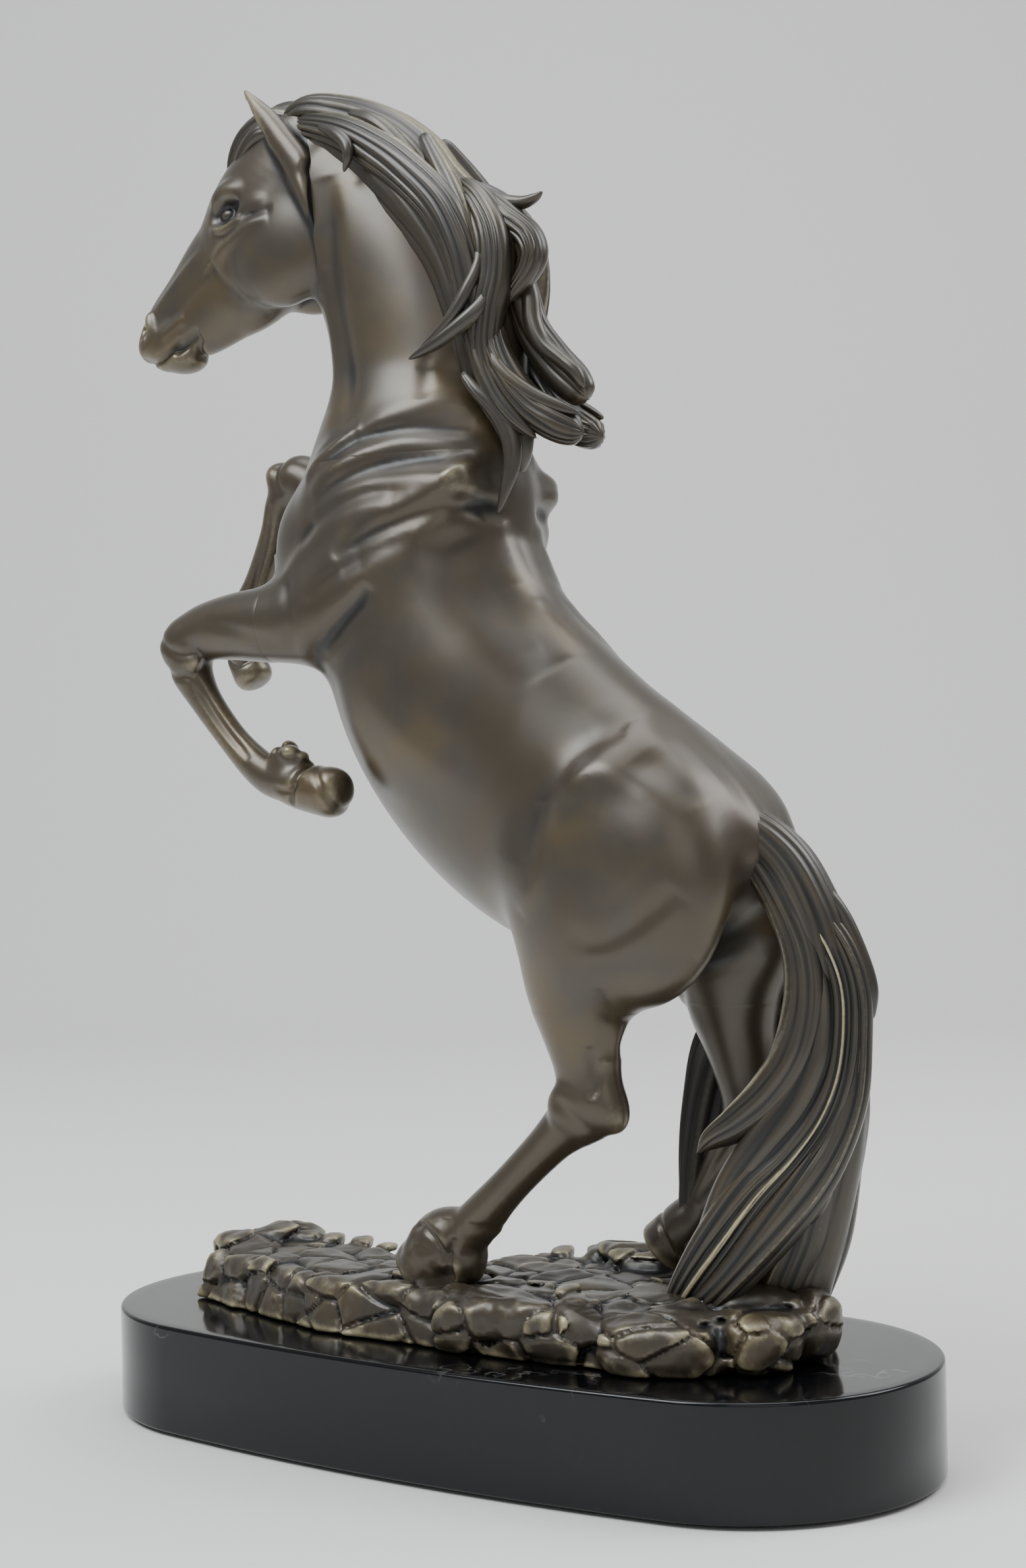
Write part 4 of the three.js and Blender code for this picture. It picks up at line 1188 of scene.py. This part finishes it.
MANE = [
    ([(-66, 0, 371, 4, 5), (-52, 0, 366, 9, 9), (-36, 0, 356, 10, 13), (-22, 0, 344, 11, 14),
      (-10, 0, 329, 11, 13), (-3, 0, 312, 11, 12), (1, 0, 292, 10, 11), (5, 0, 276, 7, 9),
      (8, 0, 264, 3, 4)], LEFT, 5, 0.8),
    ([(-66, -5, 375, 2, 3), (-45, -8.5, 368, 3.5, 5), (-29, -10.5, 359, 4, 6),
      (-17, -12, 350, 4, 6), (-7, -12.5, 340, 4, 6), (-1, -12.5, 329, 4, 5.5), (2, -12, 318, 4, 5),
      (4, -11, 305, 4, 4.5), (7, -10, 292, 3, 3), (11, -9, 283, 0.6, 0.6)], LEFT, 4, 1.0),
    ([(-70, -3, 374, 3, 4), (-60, -3, 377, 5, 5), (-46, -2, 373.5, 6.5, 6),
      (-33, -2, 368.5, 7, 5.5), (-22, -2, 361, 6.5, 5), (-15, -2, 353, 6, 4.5),
      (-8, -3, 345, 5, 4.5), (-1, -5, 335, 4, 4), (3, -7, 322, 2, 3)], LEFT, 3, 1.1),
    ([(-60, -5, 375, 2, 3), (-46, -7.5, 371, 3, 3.2), (-34, -9, 366, 3, 3),
      (-25, -10, 359, 2.5, 2.6), (-17, -11, 351, 2, 2), (-10, -11.5, 343, 1, 1)], LEFT, 2, 0.9),
    ([(-44, -6, 373, 2, 3), (-32, -8, 368, 3, 3), (-23, -8.5, 360.5, 3, 2.6),
      (-16, -9, 352, 2.4, 2.2), (-9, -10, 342, 1.6, 1.6), (-4, -11, 333, 0.5, 0.5)], LEFT, 2, 0.9),
    ([(-19, -4, 364, 2, 2.5), (-11, -7, 353, 3, 3.2), (-4, -9.5, 342, 3.2, 3.6),
      (1, -11, 331, 3.2, 3.6), (3, -11.5, 322, 3, 3.2), (4, -12, 311, 2.6, 2.6),
      (5, -12, 302, 1, 1)], LEFT, 2, 1.1),
    ([(-8, -2, 349, 3, 3), (1, -5, 341, 5, 5), (7, -7, 331, 6, 6), (8, -8, 320, 6, 6),
      (6, -9, 310, 6, 5.5), (5, -9, 300, 5.5, 5), (8, -9, 290, 5, 4.5), (13, -8, 281, 3.5, 3.5),
      (18, -7, 275, 0.8, 0.8)], OUTWARD, 5, 1.1),
    ([(-9, 1, 346, 5, 5), (1, 0, 340, 7, 6), (9, -1, 335, 7, 5), (15, -2, 330.5, 5.5, 4.5),
      (17.5, -3, 325.5, 5, 4.2), (16.5, -4, 321, 4, 3.6), (13, -5, 316.5, 3, 2.8),
      (9, -6, 312, 0.7, 0.7)], OUTWARD, 4, 1.0),
    ([(-5, 0, 347, 2.5, 3), (3, 0, 343, 2.5, 2.5), (11, 0, 341, 2, 2), (16, 0, 341.5, 1.4, 1.4),
      (19, 0, 343, 0.4, 0.4)], OUTWARD, 2, 0.5),
    ([(8, 0, 326, 4, 5), (11, 0, 317, 4, 5), (14, 1, 306, 4, 5), (20, 2, 297, 4, 5.5),
      (26.5, 2, 290, 4, 5.5), (31.5, 1, 285, 2.5, 3.5)], OUTWARD, 4, 0.8),
    ([(12, -1, 326, 1.6, 1.6), (15.5, -2, 315, 2.4, 2.4), (17, -3, 307, 2.6, 2.6),
      (20.5, -3.5, 300.5, 2.4, 2.4), (26.5, -3.5, 295.5, 2.2, 2.0), (31, -3.5, 291.5, 1.8, 1.8),
      (33, -3, 287, 0.8, 0.8)], OUTWARD, 1, 0.5),
    ([(2, -6, 316, 4, 4), (4, -7.5, 309, 5.5, 5), (7, -8, 299, 5.5, 5), (12, -8, 290.5, 5.5, 5),
      (18.5, -7, 283, 5.5, 5), (26, -6, 278, 5, 5), (31.5, -5, 275.5, 3.5, 4),
      (34, -4.5, 275, 1.2, 1.8)], OUTWARD, 4, 1.1),
    ([(7, -10, 303, 1.2, 1.2), (9.5, -11.5, 297, 1.8, 1.8), (14, -11.5, 291.5, 2, 2),
      (21, -10, 286, 2, 2), (28.5, -8, 282, 1.6, 1.7), (33.5, -6, 280, 0.6, 0.6)], OUTWARD, 1, 0.4),
    ([(1, -9, 316, 1.6, 1.6), (2.5, -11, 308, 2.2, 2.4), (5, -12, 298, 2.4, 2.6),
      (10, -12, 287.5, 2.4, 2.6), (15.5, -11, 280, 2.2, 2.4), (21.5, -9, 274, 0.7, 0.7)],
     OUTWARD, 2, 0.8),
    ([(0, -13, 294, 1.2, 1.4), (4.5, -13, 288.5, 1.8, 2.0), (9, -12, 284, 2, 2.6),
      (12.8, -11, 278.5, 2, 2.8), (14.5, -10.5, 272.5, 1.9, 2.6), (14, -10.5, 266.5, 1.7, 2.2),
      (12.5, -11.5, 260.5, 1.3, 1.5), (10.5, -12.5, 254, 0.4, 0.4)], REAR_LEFT, 2, 0.5),
    ([(4, -10, 331, 1, 1.2), (6, -13, 323, 1.5, 1.7), (4, -15.5, 316, 1.7, 1.9),
      (0, -17, 309, 1.6, 1.7), (-5, -17.5, 304.5, 1.1, 1.2), (-11, -17.5, 301, 0.4, 0.4)],
     LEFT, 1, 0.3),
    ([(9, -10, 318, 1.6, 1.6), (7, -13.5, 311.5, 2.0, 2.2), (3, -16, 307, 2.1, 2.3),
      (-4, -17.5, 302.5, 1.9, 2.0), (-10, -17.8, 300, 1.2, 1.3), (-15, -17.5, 298.5, 0.35, 0.35)],
     LEFT, 1, 0.3),
    ([(-51, -10, 370.5, 1, 1.1), (-43, -13, 366.5, 1.6, 1.8), (-38, -14.3, 362.5, 1.7, 1.8),
      (-37, -14.8, 358.5, 1.4, 1.5), (-39, -14.3, 354.5, 0.4, 0.4)], LEFT, 1, 0.3),
]



def right_side(entry):
    """The matching lock on the horse's right."""
    stations, face, strands, relief = entry
    mirrored = [(x, -y, z, *rest) for x, y, z, *rest in stations]
    return mirrored, (face[0], -face[1], face[2]), strands, relief


mane_locks = [lock(*entry, seed=40 + k) for k, entry in enumerate(MANE)]
both_sides = MANE[1:7] + MANE[11:14]
mane_locks += [lock(*right_side(entry), seed=80 + k) for k, entry in enumerate(both_sides)]
hair_piece("mane", "mane_casting", mane_locks)

# %% The forelock
FORELOCK = [
    ([(-64, 2, 376, 4, 5), (-73, 3, 378, 5, 6.5), (-82.5, 4, 375.5, 4.5, 6), (-89.5, 4, 369, 4, 5),
      (-92.5, 4, 362, 2.5, 4), (-94, 4, 355, 0.8, 1.2)], (0, -1, 0.3), 3, 0.9),
    ([(-64, -3, 375, 3, 4), (-74, -3.5, 377, 3.5, 4), (-83, -3.5, 373.5, 3.5, 3.6),
      (-89, -2.5, 367, 2.5, 2.8), (-91.5, -1, 360, 0.7, 0.7)], (0, -1, 0.3), 2, 0.9),
    ([(-64, 6, 374, 3, 4), (-74, 8, 375.5, 3.5, 4), (-83.5, 8, 371, 3, 4), (-89.5, 7, 364, 2, 2.5),
      (-92, 6, 357, 0.6, 0.6)], (0, 1, 0.3), 3, 0.8),
    ([(-68, -6, 373, 2, 2.5), (-76, -7, 373, 2.4, 3), (-83, -6.5, 368, 1.8, 2),
      (-87, -5.5, 362, 0.5, 0.5)], (0, -1, 0.2), 2, 0.6),
]

forelock_locks = [lock(*entry, seed=140 + k) for k, entry in enumerate(FORELOCK)]
hair_piece("forelock", "forelock_casting", forelock_locks)

# %% [markdown]
# The tail hangs in two falls. The near one drops from the dock in a long arc, throws one lock
# forward at the height of the hock, and sweeps across itself into a pointed foot on the rocks.
# The far one is a broad curtain behind the right leg, which narrows towards the ground. Its darker
# bronze is painted shade, for the shadow of the near fall.

# %% The tail
REAR = (0.57, -0.82, 0)
TAIL_NEAR = [
    ([(68, 0, 171, 4, 5), (78, 1, 167.5, 6.8, 7), (86.5, 3, 159.5, 8, 8.5), (92, 5, 149, 8.5, 9),
      (95.5, 7, 137, 9, 9.5), (97, 8, 124, 9, 10.5), (97, 8, 110, 8.5, 11), (96, 8, 95, 8, 11),
      (94, 8, 79, 7.5, 11), (91, 8, 63, 7, 11), (86, 7, 50, 6.5, 11), (82, 6, 40, 6, 11)],
     REAR, 4, 1.1),
    ([(74, -1, 167.5, 3, 4), (84, -1, 158, 4.5, 5), (92, 1, 143, 5, 5.5), (95.5, 1, 131, 5.5, 6),
      (95.5, 0, 119, 5.5, 6.5), (92.5, -2, 108, 5.5, 6.5), (86, -4, 98.5, 5, 6),
      (78, -6.5, 91.5, 4, 4.6), (71.5, -8.5, 87.5, 2.4, 2.8), (67.5, -9.5, 83.5, 0.5, 0.5)],
     REAR, 3, 1.1),
    ([(82, 0, 163, 3, 4), (93, 1.5, 147, 4, 5), (98, 3, 131, 4.5, 5), (99.5, 2, 119, 4.5, 5.5),
      (98.5, 0, 108, 4.5, 6), (93.5, -2, 97, 4.5, 6.5), (86, -5, 87, 4.5, 6),
      (79, -7, 77.5, 4, 5.5), (74, -8.5, 67, 3.5, 5), (70, -9.5, 57, 2.5, 4), (67, -10, 48, 1, 2)],
     REAR, 3, 1.2),
    ([(91, 2, 152, 3, 4), (99, 4, 139, 4, 4.5), (103, 5, 128, 4.5, 5), (104, 4, 116, 4.5, 5.5),
      (103, 2, 104, 4.5, 6), (99, 0, 93, 4.5, 7), (92.5, -3, 83, 4.5, 7.5), (84, -6, 73, 4.5, 8.5),
      (75.5, -9, 60.5, 4, 8.5), (66.5, -11, 48, 3.5, 6.5), (60, -12, 38, 2.5, 3.6),
      (57, -12.5, 34.5, 0.8, 1)], REAR, 5, 1.9),
    ([(96, 3, 149, 2.5, 3), (102.5, 6, 137, 3.5, 4), (106, 7, 126, 4, 4), (106.5, 6, 113, 4, 4.2),
      (106, 4, 100, 4, 4.6), (103, 1, 88, 4, 5), (97.5, -3, 77, 4, 6), (88, -7, 64, 4, 6),
      (78, -10, 52, 3.5, 5), (67.5, -12, 41, 2.5, 3.8), (61, -12.5, 35, 0.8, 1)], REAR, 3, 1.4),
    ([(95, 5, 155, 1.6, 1.8), (101, 7.5, 147, 2.2, 2.3), (105.5, 9, 137, 2.3, 2.4),
      (108.5, 10, 126.5, 2.2, 2.3), (108, 10, 118, 1.5, 1.6)], REAR, 1, 0.4),
    ([(102, 8, 112, 4, 4.5), (103, 9, 98, 4.5, 5), (101.5, 9, 86, 5, 5.2), (98.5, 9, 74, 5, 5.4),
      (95, 9, 62, 5, 5.6), (91, 8, 50, 5, 5.8), (88, 8, 41, 4, 6)], REAR, 2, 0.9),
    ([(95, -3, 79, 1.5, 2.4), (95.5, -4.5, 72, 1.6, 2.4), (93, -5.5, 65, 1.2, 1.6),
      (89.5, -6.5, 60, 0.4, 0.4)], REAR, 2, 0.7),
    ([(88, -6, 69, 1.6, 2.6), (86, -7.5, 61, 1.6, 2.4), (82, -8.5, 54.5, 1.2, 1.5),
      (78, -9, 50, 0.4, 0.4)], REAR, 2, 0.7),
    ([(100, 0, 84, 1.5, 2), (101, -1.5, 77, 1.6, 2), (99.5, -2.5, 71, 1, 1.3),
      (97, -3, 67, 0.4, 0.4)], REAR, 1, 0.5),
]

TAIL_FAR = [
    ([(86, 8, 156, 4, 6), (89, 17, 144, 4.5, 9), (82, 27.5, 131, 4.2, 14),
      (72.6, 33, 117, 3.6, 18.5), (63.6, 34, 103, 3.4, 20.5), (58.8, 30.7, 86, 3.4, 17.5),
      (58, 25.7, 66, 3.4, 15), (56.7, 22.2, 42, 3.4, 12.5)], REAR, 7, 1.1),
]

near_locks = [lock(*entry, seed=200 + k, rings=90) for k, entry in enumerate(TAIL_NEAR)]
hair_piece("tail_fall", "tail_casting", near_locks)
far_locks = [lock(*entry, seed=230 + k, rings=80) for k, entry in enumerate(TAIL_FAR)]
# The curtain's darker bronze is painted shade.
hair_piece("tail_curtain", "tail_casting", far_locks, PAINTED_SHADE_BRONZE)

# %% [markdown]
# ## The ground
#
# The ground is a paved and rocky mound. It is clay again, because stones that sink into one another
# have soft joints, which the bronze darkens as grime and as painted shade: a low mound inside the
# casting's plan, with a paving of flat stones at the front, slabs under the near hoof, and round
# boulders along the rim. Stones that were set down one by one would show gaps, so the paving is cut
# into the mound's own surface.

# %% The mound and its stones
GROUND_PLAN = [
    (98, 12), (92, 25), (73, 34), (48, 37), (20, 38), (-8, 34), (-24, 22), (-48, 18), (-80, 15),
    (-98, 9), (-103, -5), (-99, -20), (-74, -30), (-38, -38), (-8, -41), (16, -39), (40, -40),
    (62, -37), (81, -30), (92, -18), (95.5, -4),
]
GROUND_FOOT = 31.3
DECK = 45.0


def plan_distance(x, y, plan):
    """How far each place is outside a closed outline, negative inside, from its nearest edge."""
    best = np.full(np.broadcast_shapes(x.shape, y.shape), 1e9, np.float32)
    inside = np.zeros(best.shape, bool)
    for (ax, ay), (bx, by) in zip(plan, plan[1:] + plan[:1]):
        dx, dy = bx - ax, by - ay
        share = np.clip(((x - ax) * dx + (y - ay) * dy) / (dx * dx + dy * dy), 0, 1)
        best = np.minimum(best, (x - ax - share * dx) ** 2 + (y - ay - share * dy) ** 2)
        crosses = (ay > y) != (by > y)
        inside ^= crosses & (x < ax + (y - ay) * dx / (dy if dy else 1e-9))
    return np.where(inside, -1, 1) * np.sqrt(best)


def stones(clay, seed, joint=1.0):
    """
    Cuts a surface into stones. A seed point sits at random in each box of a lattice, and a place
    belongs to its nearest seed; half the second distance less the first is nought in a joint. The
    boxes grow from 13 mm long at the front to slabs at the rear. Each stone is raised or sunk, tilted,
    rounded towards its joints, and parted from its neighbours by a groove exp(-(distance / 0.5)^2).
    """
    near = np.argwhere(np.abs(clay.field) < 4)
    x, y, z = (axis[near[:, k]] for k, axis in enumerate(clay.axes))
    behind = np.maximum(x, 0)
    grow = 1 / (1 - 0.0064 * np.minimum(behind, 80))
    wobble = [1.8 * np.sin(x / 7.3 + y / 5.1), 1.5 * np.sin(x / 5.7 - y / 8.3 + 1.0)]
    lattice = np.stack([
        (x + wobble[0]) / 13 * (1 - 0.0032 * behind),
        (y + wobble[1]) / 10.5 * (1 - 0.0042 * behind),
        (z - GROUND_FOOT) / 9 + 0.12 * np.sin(x / 9) + 0.25,
    ], 1)
    box = np.floor(lattice).astype(int)
    first = box.min(0) - 1
    rng = np.random.default_rng(seed)
    seeds = rng.uniform(0.12, 0.88, (*(box.max(0) - first + 2), 3))
    levels = rng.uniform(-1, 1, seeds.shape)
    best = np.full(len(x), 9.0)
    second = np.full(len(x), 9.0)
    kept = np.zeros((len(x), 3))
    nearest = np.zeros((len(x), 3))
    for step in np.ndindex(3, 3, 3):
        cell = box + np.array(step) - 1
        index = tuple((cell - first).T)
        away = lattice - cell - seeds[index]
        distance = np.sqrt((away**2).sum(1))
        closer = distance < best
        second = np.where(closer, best, np.minimum(second, distance))
        best = np.where(closer, distance, best)
        kept[closer] = levels[index][closer]
        nearest[closer] = away[closer]
    edge = (second - best) / 2 * 11 * grow
    tilt = (kept[:, 1] * nearest[:, 0] + kept[:, 2] * nearest[:, 1]) * 1.3
    change = joint * np.exp(-((edge / 0.5) ** 2)) - 0.35 * np.clip(edge / 1.2, 0, 1) ** 0.6
    change += 0.4 * kept[:, 0] + tilt
    clay.field[tuple(near.T)] += change.astype(np.float32)


ground = Clay((-112, -50, 28), (110, 48, 66), 0.8)
everywhere = ground.window(ground.low, [axis[-1] for axis in ground.axes])
gx, gy, gz = ground.points(everywhere)
plan = plan_distance(gx[:, :, 0], gy[:, :, 0], GROUND_PLAN)[:, :, None].astype(np.float32)
rise = 1.4 * np.exp(-(((gx + 92) / 14) ** 2) - ((gy - 2) / 14) ** 2)
swell = 1.2 * np.sin(gx / 17) * np.cos(gy / 13) + rise
ledge = 1.1 * np.sin(gz / 1.9 + gx / 23) * np.clip((gx - 20) / 20, 0, 1)
side_slope = plan + 2.2 + 0.22 * (gz - GROUND_FOOT) + 1.2 * np.sin(gx / 8.5 + gy / 11) + ledge
ground.field = -soft_min(-side_slope, -(gz - (DECK + swell)), 4)
BOULDERS = [
    ((67, -30, 37), (15, 8, 7), 20), ((88, -15, 38.5), (10, 9, 7.5), 60),
    ((90, 2, 40), (9, 11, 8.5), 80), ((79, -2, 44), (10, 9, 6), 30),
    ((34, -33, 39), (15, 7, 7.5), 0), ((12, -34, 38.5), (10, 7, 7.5), 10),
    ((30, 25, 46), (10, 8, 4.5), 10), ((20, 31, 44.5), (12, 6, 5), 5),
    ((46, 32, 44), (12, 5, 5), 0), ((-13, -15, 43), (16, 13, 3.4), 0),
    ((60, -12, 44), (14, 10, 3.6), 25), ((68, 20, 44), (16, 10, 4), 20),
    ((-84, 8, 45), (9, 6, 4.5), 20), ((-95, -2, 43), (7, 9, 4.5), 70),
]

for middle, sizes, yaw in BOULDERS:
    ground.join(ball(ground, middle, sizes, 0, yaw, 3.0), 2.5)
stones(ground, 7)
PEBBLES = [
    (36, -24, 47.4, 2.8), (41, -28, 46, 3.2), (45, -27, 45.4, 2.2), (-70, 10, 46, 3.0),
    (-61, 12, 45.6, 3.4), (-77, 9, 46.6, 3.2), (-86, 6, 47.4, 3.6), (-92, 1, 46.6, 3.0),
    (-52, 13, 45, 2.4), (0, 28, 45.4, 3.0), (11, 31, 46, 3.6), (27, 33, 46.2, 3.8),
    (38, 34, 45.6, 3.4), (-84, 11, 45.4, 2.8),
]

for x, y, z, size in PEBBLES:
    ground.join(ball(ground, (x, y, z), (size * 1.5, size, size * 0.6), 0, 37 * size, 3.0), 0.8)
ground.field += 0.5 * cloud(ground, everywhere, 6.0, 11) + 0.25 * cloud(ground, everywhere, 2.4, 12)
ground.field = np.maximum(ground.field, GROUND_FOOT - gz)
finish_clay(ground, "ground", "ground_casting", GROUND_BRONZE, 5.0)

# %% [markdown]
# ## The marble base
#
# The base is an oval of four arcs, sawn, ground and polished, with its two rims eased. The outline is
# worked out as a function of the turn of its normal, so moving a point in along the normal gives the
# same oval a little smaller, and the eased rim is a quarter circle carried round it.

# %% The oval and its eased rims
END_RADIUS = 53.0
EASE = 1.0
half_length, half_width = BASE_LENGTH / 2, BASE_WIDTH / 2
end_middle = half_length - END_RADIUS
drop = half_width - END_RADIUS
side_radius = END_RADIUS + (end_middle**2 + drop**2) / (2 * drop)
side_middle = side_radius - half_width


def oval(turn, inset):
    """
    The point whose outward normal has the given turn, on the oval moved in by the inset: on an end
    arc where the normal points far enough along the base, and on a side arc elsewhere.
    """
    c, s = np.cos(turn), np.sin(turn)
    limit = end_middle / math.hypot(end_middle, side_middle)
    on_end = np.abs(c) > limit
    radius = np.where(on_end, END_RADIUS, side_radius) - inset
    x = np.where(on_end, np.sign(c) * end_middle, 0) + radius * c
    y = np.where(on_end, 0, -np.sign(s) * side_middle) + radius * s
    return x, y


def base_piece():
    """Rings of the oval up the profile, with a flat cap below and above."""
    even = np.linspace(0, 2 * math.pi, 4001)
    x, y = oval(even, 0)
    walked = np.concatenate([[0], np.cumsum(np.hypot(np.diff(x), np.diff(y)))])
    turn = np.interp(np.linspace(0, walked[-1], 360, endpoint=False), walked, even)
    quarter = np.linspace(0, math.pi / 2, 6)
    low = [(EASE * (1 - math.sin(a)), BASE_FOOT + EASE * (1 - math.cos(a))) for a in quarter]
    high = [(inset, BASE_FOOT + BASE_TOP - z) for inset, z in reversed(low)]
    profile = [(4.0, BASE_FOOT)] + low + high + [(4.0, BASE_TOP)]
    rings = np.array([np.stack([*oval(turn, inset), np.full_like(turn, z)], 1) for inset, z in profile])
    points = rings.reshape(-1, 3)
    sides = len(turn)
    faces = grid_faces(len(profile), sides).tolist()
    top = (len(profile) - 1) * sides
    faces += [list(range(sides))[::-1], list(range(top, top + sides))]
    mesh = bpy.data.meshes.new("base")
    mesh.from_pydata((points * MM).tolist(), [], faces)
    mesh.shade_smooth()
    piece = bpy.data.objects.new("base", mesh)
    bpy.context.scene.collection.objects.link(piece)
    return piece


hand_in(base_piece(), "marble_base", MARBLE)

# %% The felt and the fixings, which keep their own meshes
FIXINGS = [f"{end}_{part}" for end in ("front", "rear") for part in ("stud", "washer", "nut")]
FIXINGS += ["left_hoof_pin", "right_hoof_pin", "tail_pin"]
for name, finish in [("felt_pad", FELT)] + [(name, STEEL) for name in FIXINGS]:
    node = bpy.data.objects[name]
    for index in range(max(1, len(node.material_slots))):
        if node.material_slots:
            node.material_slots[index].material = finish
        else:
            node.data.materials.append(finish)
print("finished the felt and", len(FIXINGS), "fixings")

# %% [markdown]
# ## Stage, light and camera
#
# A pale sheet curves up behind the statue. Large soft lamps stand high on the left, on the right and
# overhead, as windows would, so the bronze shows long cool sheens, and the polished marble mirrors
# the sheet.

# %% The pale sheet
AZIMUTH = math.radians(34.74)
RIGHTWARD = Vector((math.cos(AZIMUTH), math.sin(AZIMUTH), 0))
AWAY = Vector((-math.sin(AZIMUTH), math.cos(AZIMUTH), 0))


def backdrop():
    """A floor that bends up into a wall behind: a quarter circle between two straight runs."""
    radius, near, far, wall, half = 0.5, -2.2, 1.1, 2.4, 3.0
    angles = np.linspace(0, math.pi / 2, 24)
    profile = [(near, 0.0)] + [(far + radius * math.sin(a), radius * (1 - math.cos(a))) for a in angles]
    profile += [(far + radius, wall)]
    points = [AWAY * d + RIGHTWARD * (s * half) + Vector((0, 0, z)) for d, z in profile for s in (-1, 1)]
    faces = [(2 * i, 2 * i + 1, 2 * i + 3, 2 * i + 2) for i in range(len(profile) - 1)]
    mesh = bpy.data.meshes.new("sheet")
    mesh.from_pydata([tuple(p) for p in points], [], faces)
    mesh.shade_smooth()
    sheet = bpy.data.objects.new("sheet", mesh)
    bpy.context.scene.collection.objects.link(sheet)
    material = bpy.data.materials.new("pale_sheet")
    material.use_nodes = True
    shader = material.node_tree.nodes["Principled BSDF"]
    shader.inputs["Base Color"].default_value = (0.80, 0.79, 0.77, 1)
    shader.inputs["Roughness"].default_value = 0.75
    mesh.materials.append(material)
    sheet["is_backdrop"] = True


backdrop()


# %% Lamps
def lamp(name, right, away, up, size, power, tint, aim=(0, 0, 0.2)):
    """A square area lamp placed as seen by the camera: to the right, away from it and up."""
    light = bpy.data.lights.new(name, "AREA")
    light.shape = "SQUARE"
    light.size = size
    light.energy = power
    light.color = tint
    holder = bpy.data.objects.new(name, light)
    holder.location = RIGHTWARD * right + AWAY * away + Vector((0, 0, up))
    holder.rotation_euler = (Vector(aim) - holder.location).to_track_quat("-Z", "Y").to_euler()
    bpy.context.scene.collection.objects.link(holder)


lamp("window_left", -0.8, -0.5, 1.4, 0.9, 24, (0.93, 0.97, 1.0))
lamp("window_right", 1.1, 0.1, 1.2, 0.8, 12, (0.98, 0.99, 1.0))
lamp("front_fill", 0.2, -1.6, 0.9, 1.0, 3, (1.0, 0.98, 0.96))
lamp("skylight", 0.15, 0.1, 1.7, 1.0, 12, (0.95, 0.98, 1.0))
world = bpy.data.worlds.new("room")
world.use_nodes = True
world.node_tree.nodes["Background"].inputs["Color"].default_value = (0.93, 0.96, 1.0, 1)
world.node_tree.nodes["Background"].inputs["Strength"].default_value = 0.38
bpy.context.scene.world = world

# %% Camera
ROLL = math.radians(-1.1)
DISTANCE, LENS, SENSOR = 0.6882, 56.74, 36.0
AIM_RIGHT, AIM_UP = 0.00434, 0.18071
back = -AWAY
up = Vector((0, 0, 1))
camera_right = RIGHTWARD * math.cos(ROLL) + up * math.sin(ROLL)
camera_up = up * math.cos(ROLL) - RIGHTWARD * math.sin(ROLL)
camera_data = bpy.data.cameras.new("camera")
camera_data.lens = LENS
camera_data.sensor_width = SENSOR
camera_data.clip_start = 0.05
camera = bpy.data.objects.new("camera", camera_data)
turn = Matrix((camera_right, camera_up, back)).transposed().to_4x4()
place = RIGHTWARD * AIM_RIGHT + up * AIM_UP + back * DISTANCE
camera.matrix_world = Matrix.Translation(place) @ turn
bpy.context.scene.collection.objects.link(camera)
bpy.context.scene.camera = camera

# %% Sizes, and the end
low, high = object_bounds()
sizes = {
    "cad": [list(cad_low), list(cad_high)],
    "visual": [list(low), list(high)],
}
box = [round(v / MM, 1) for v in (*low, *high)]
print("the visual's box, mm:", box, f"{time.time() - started:.0f} s")
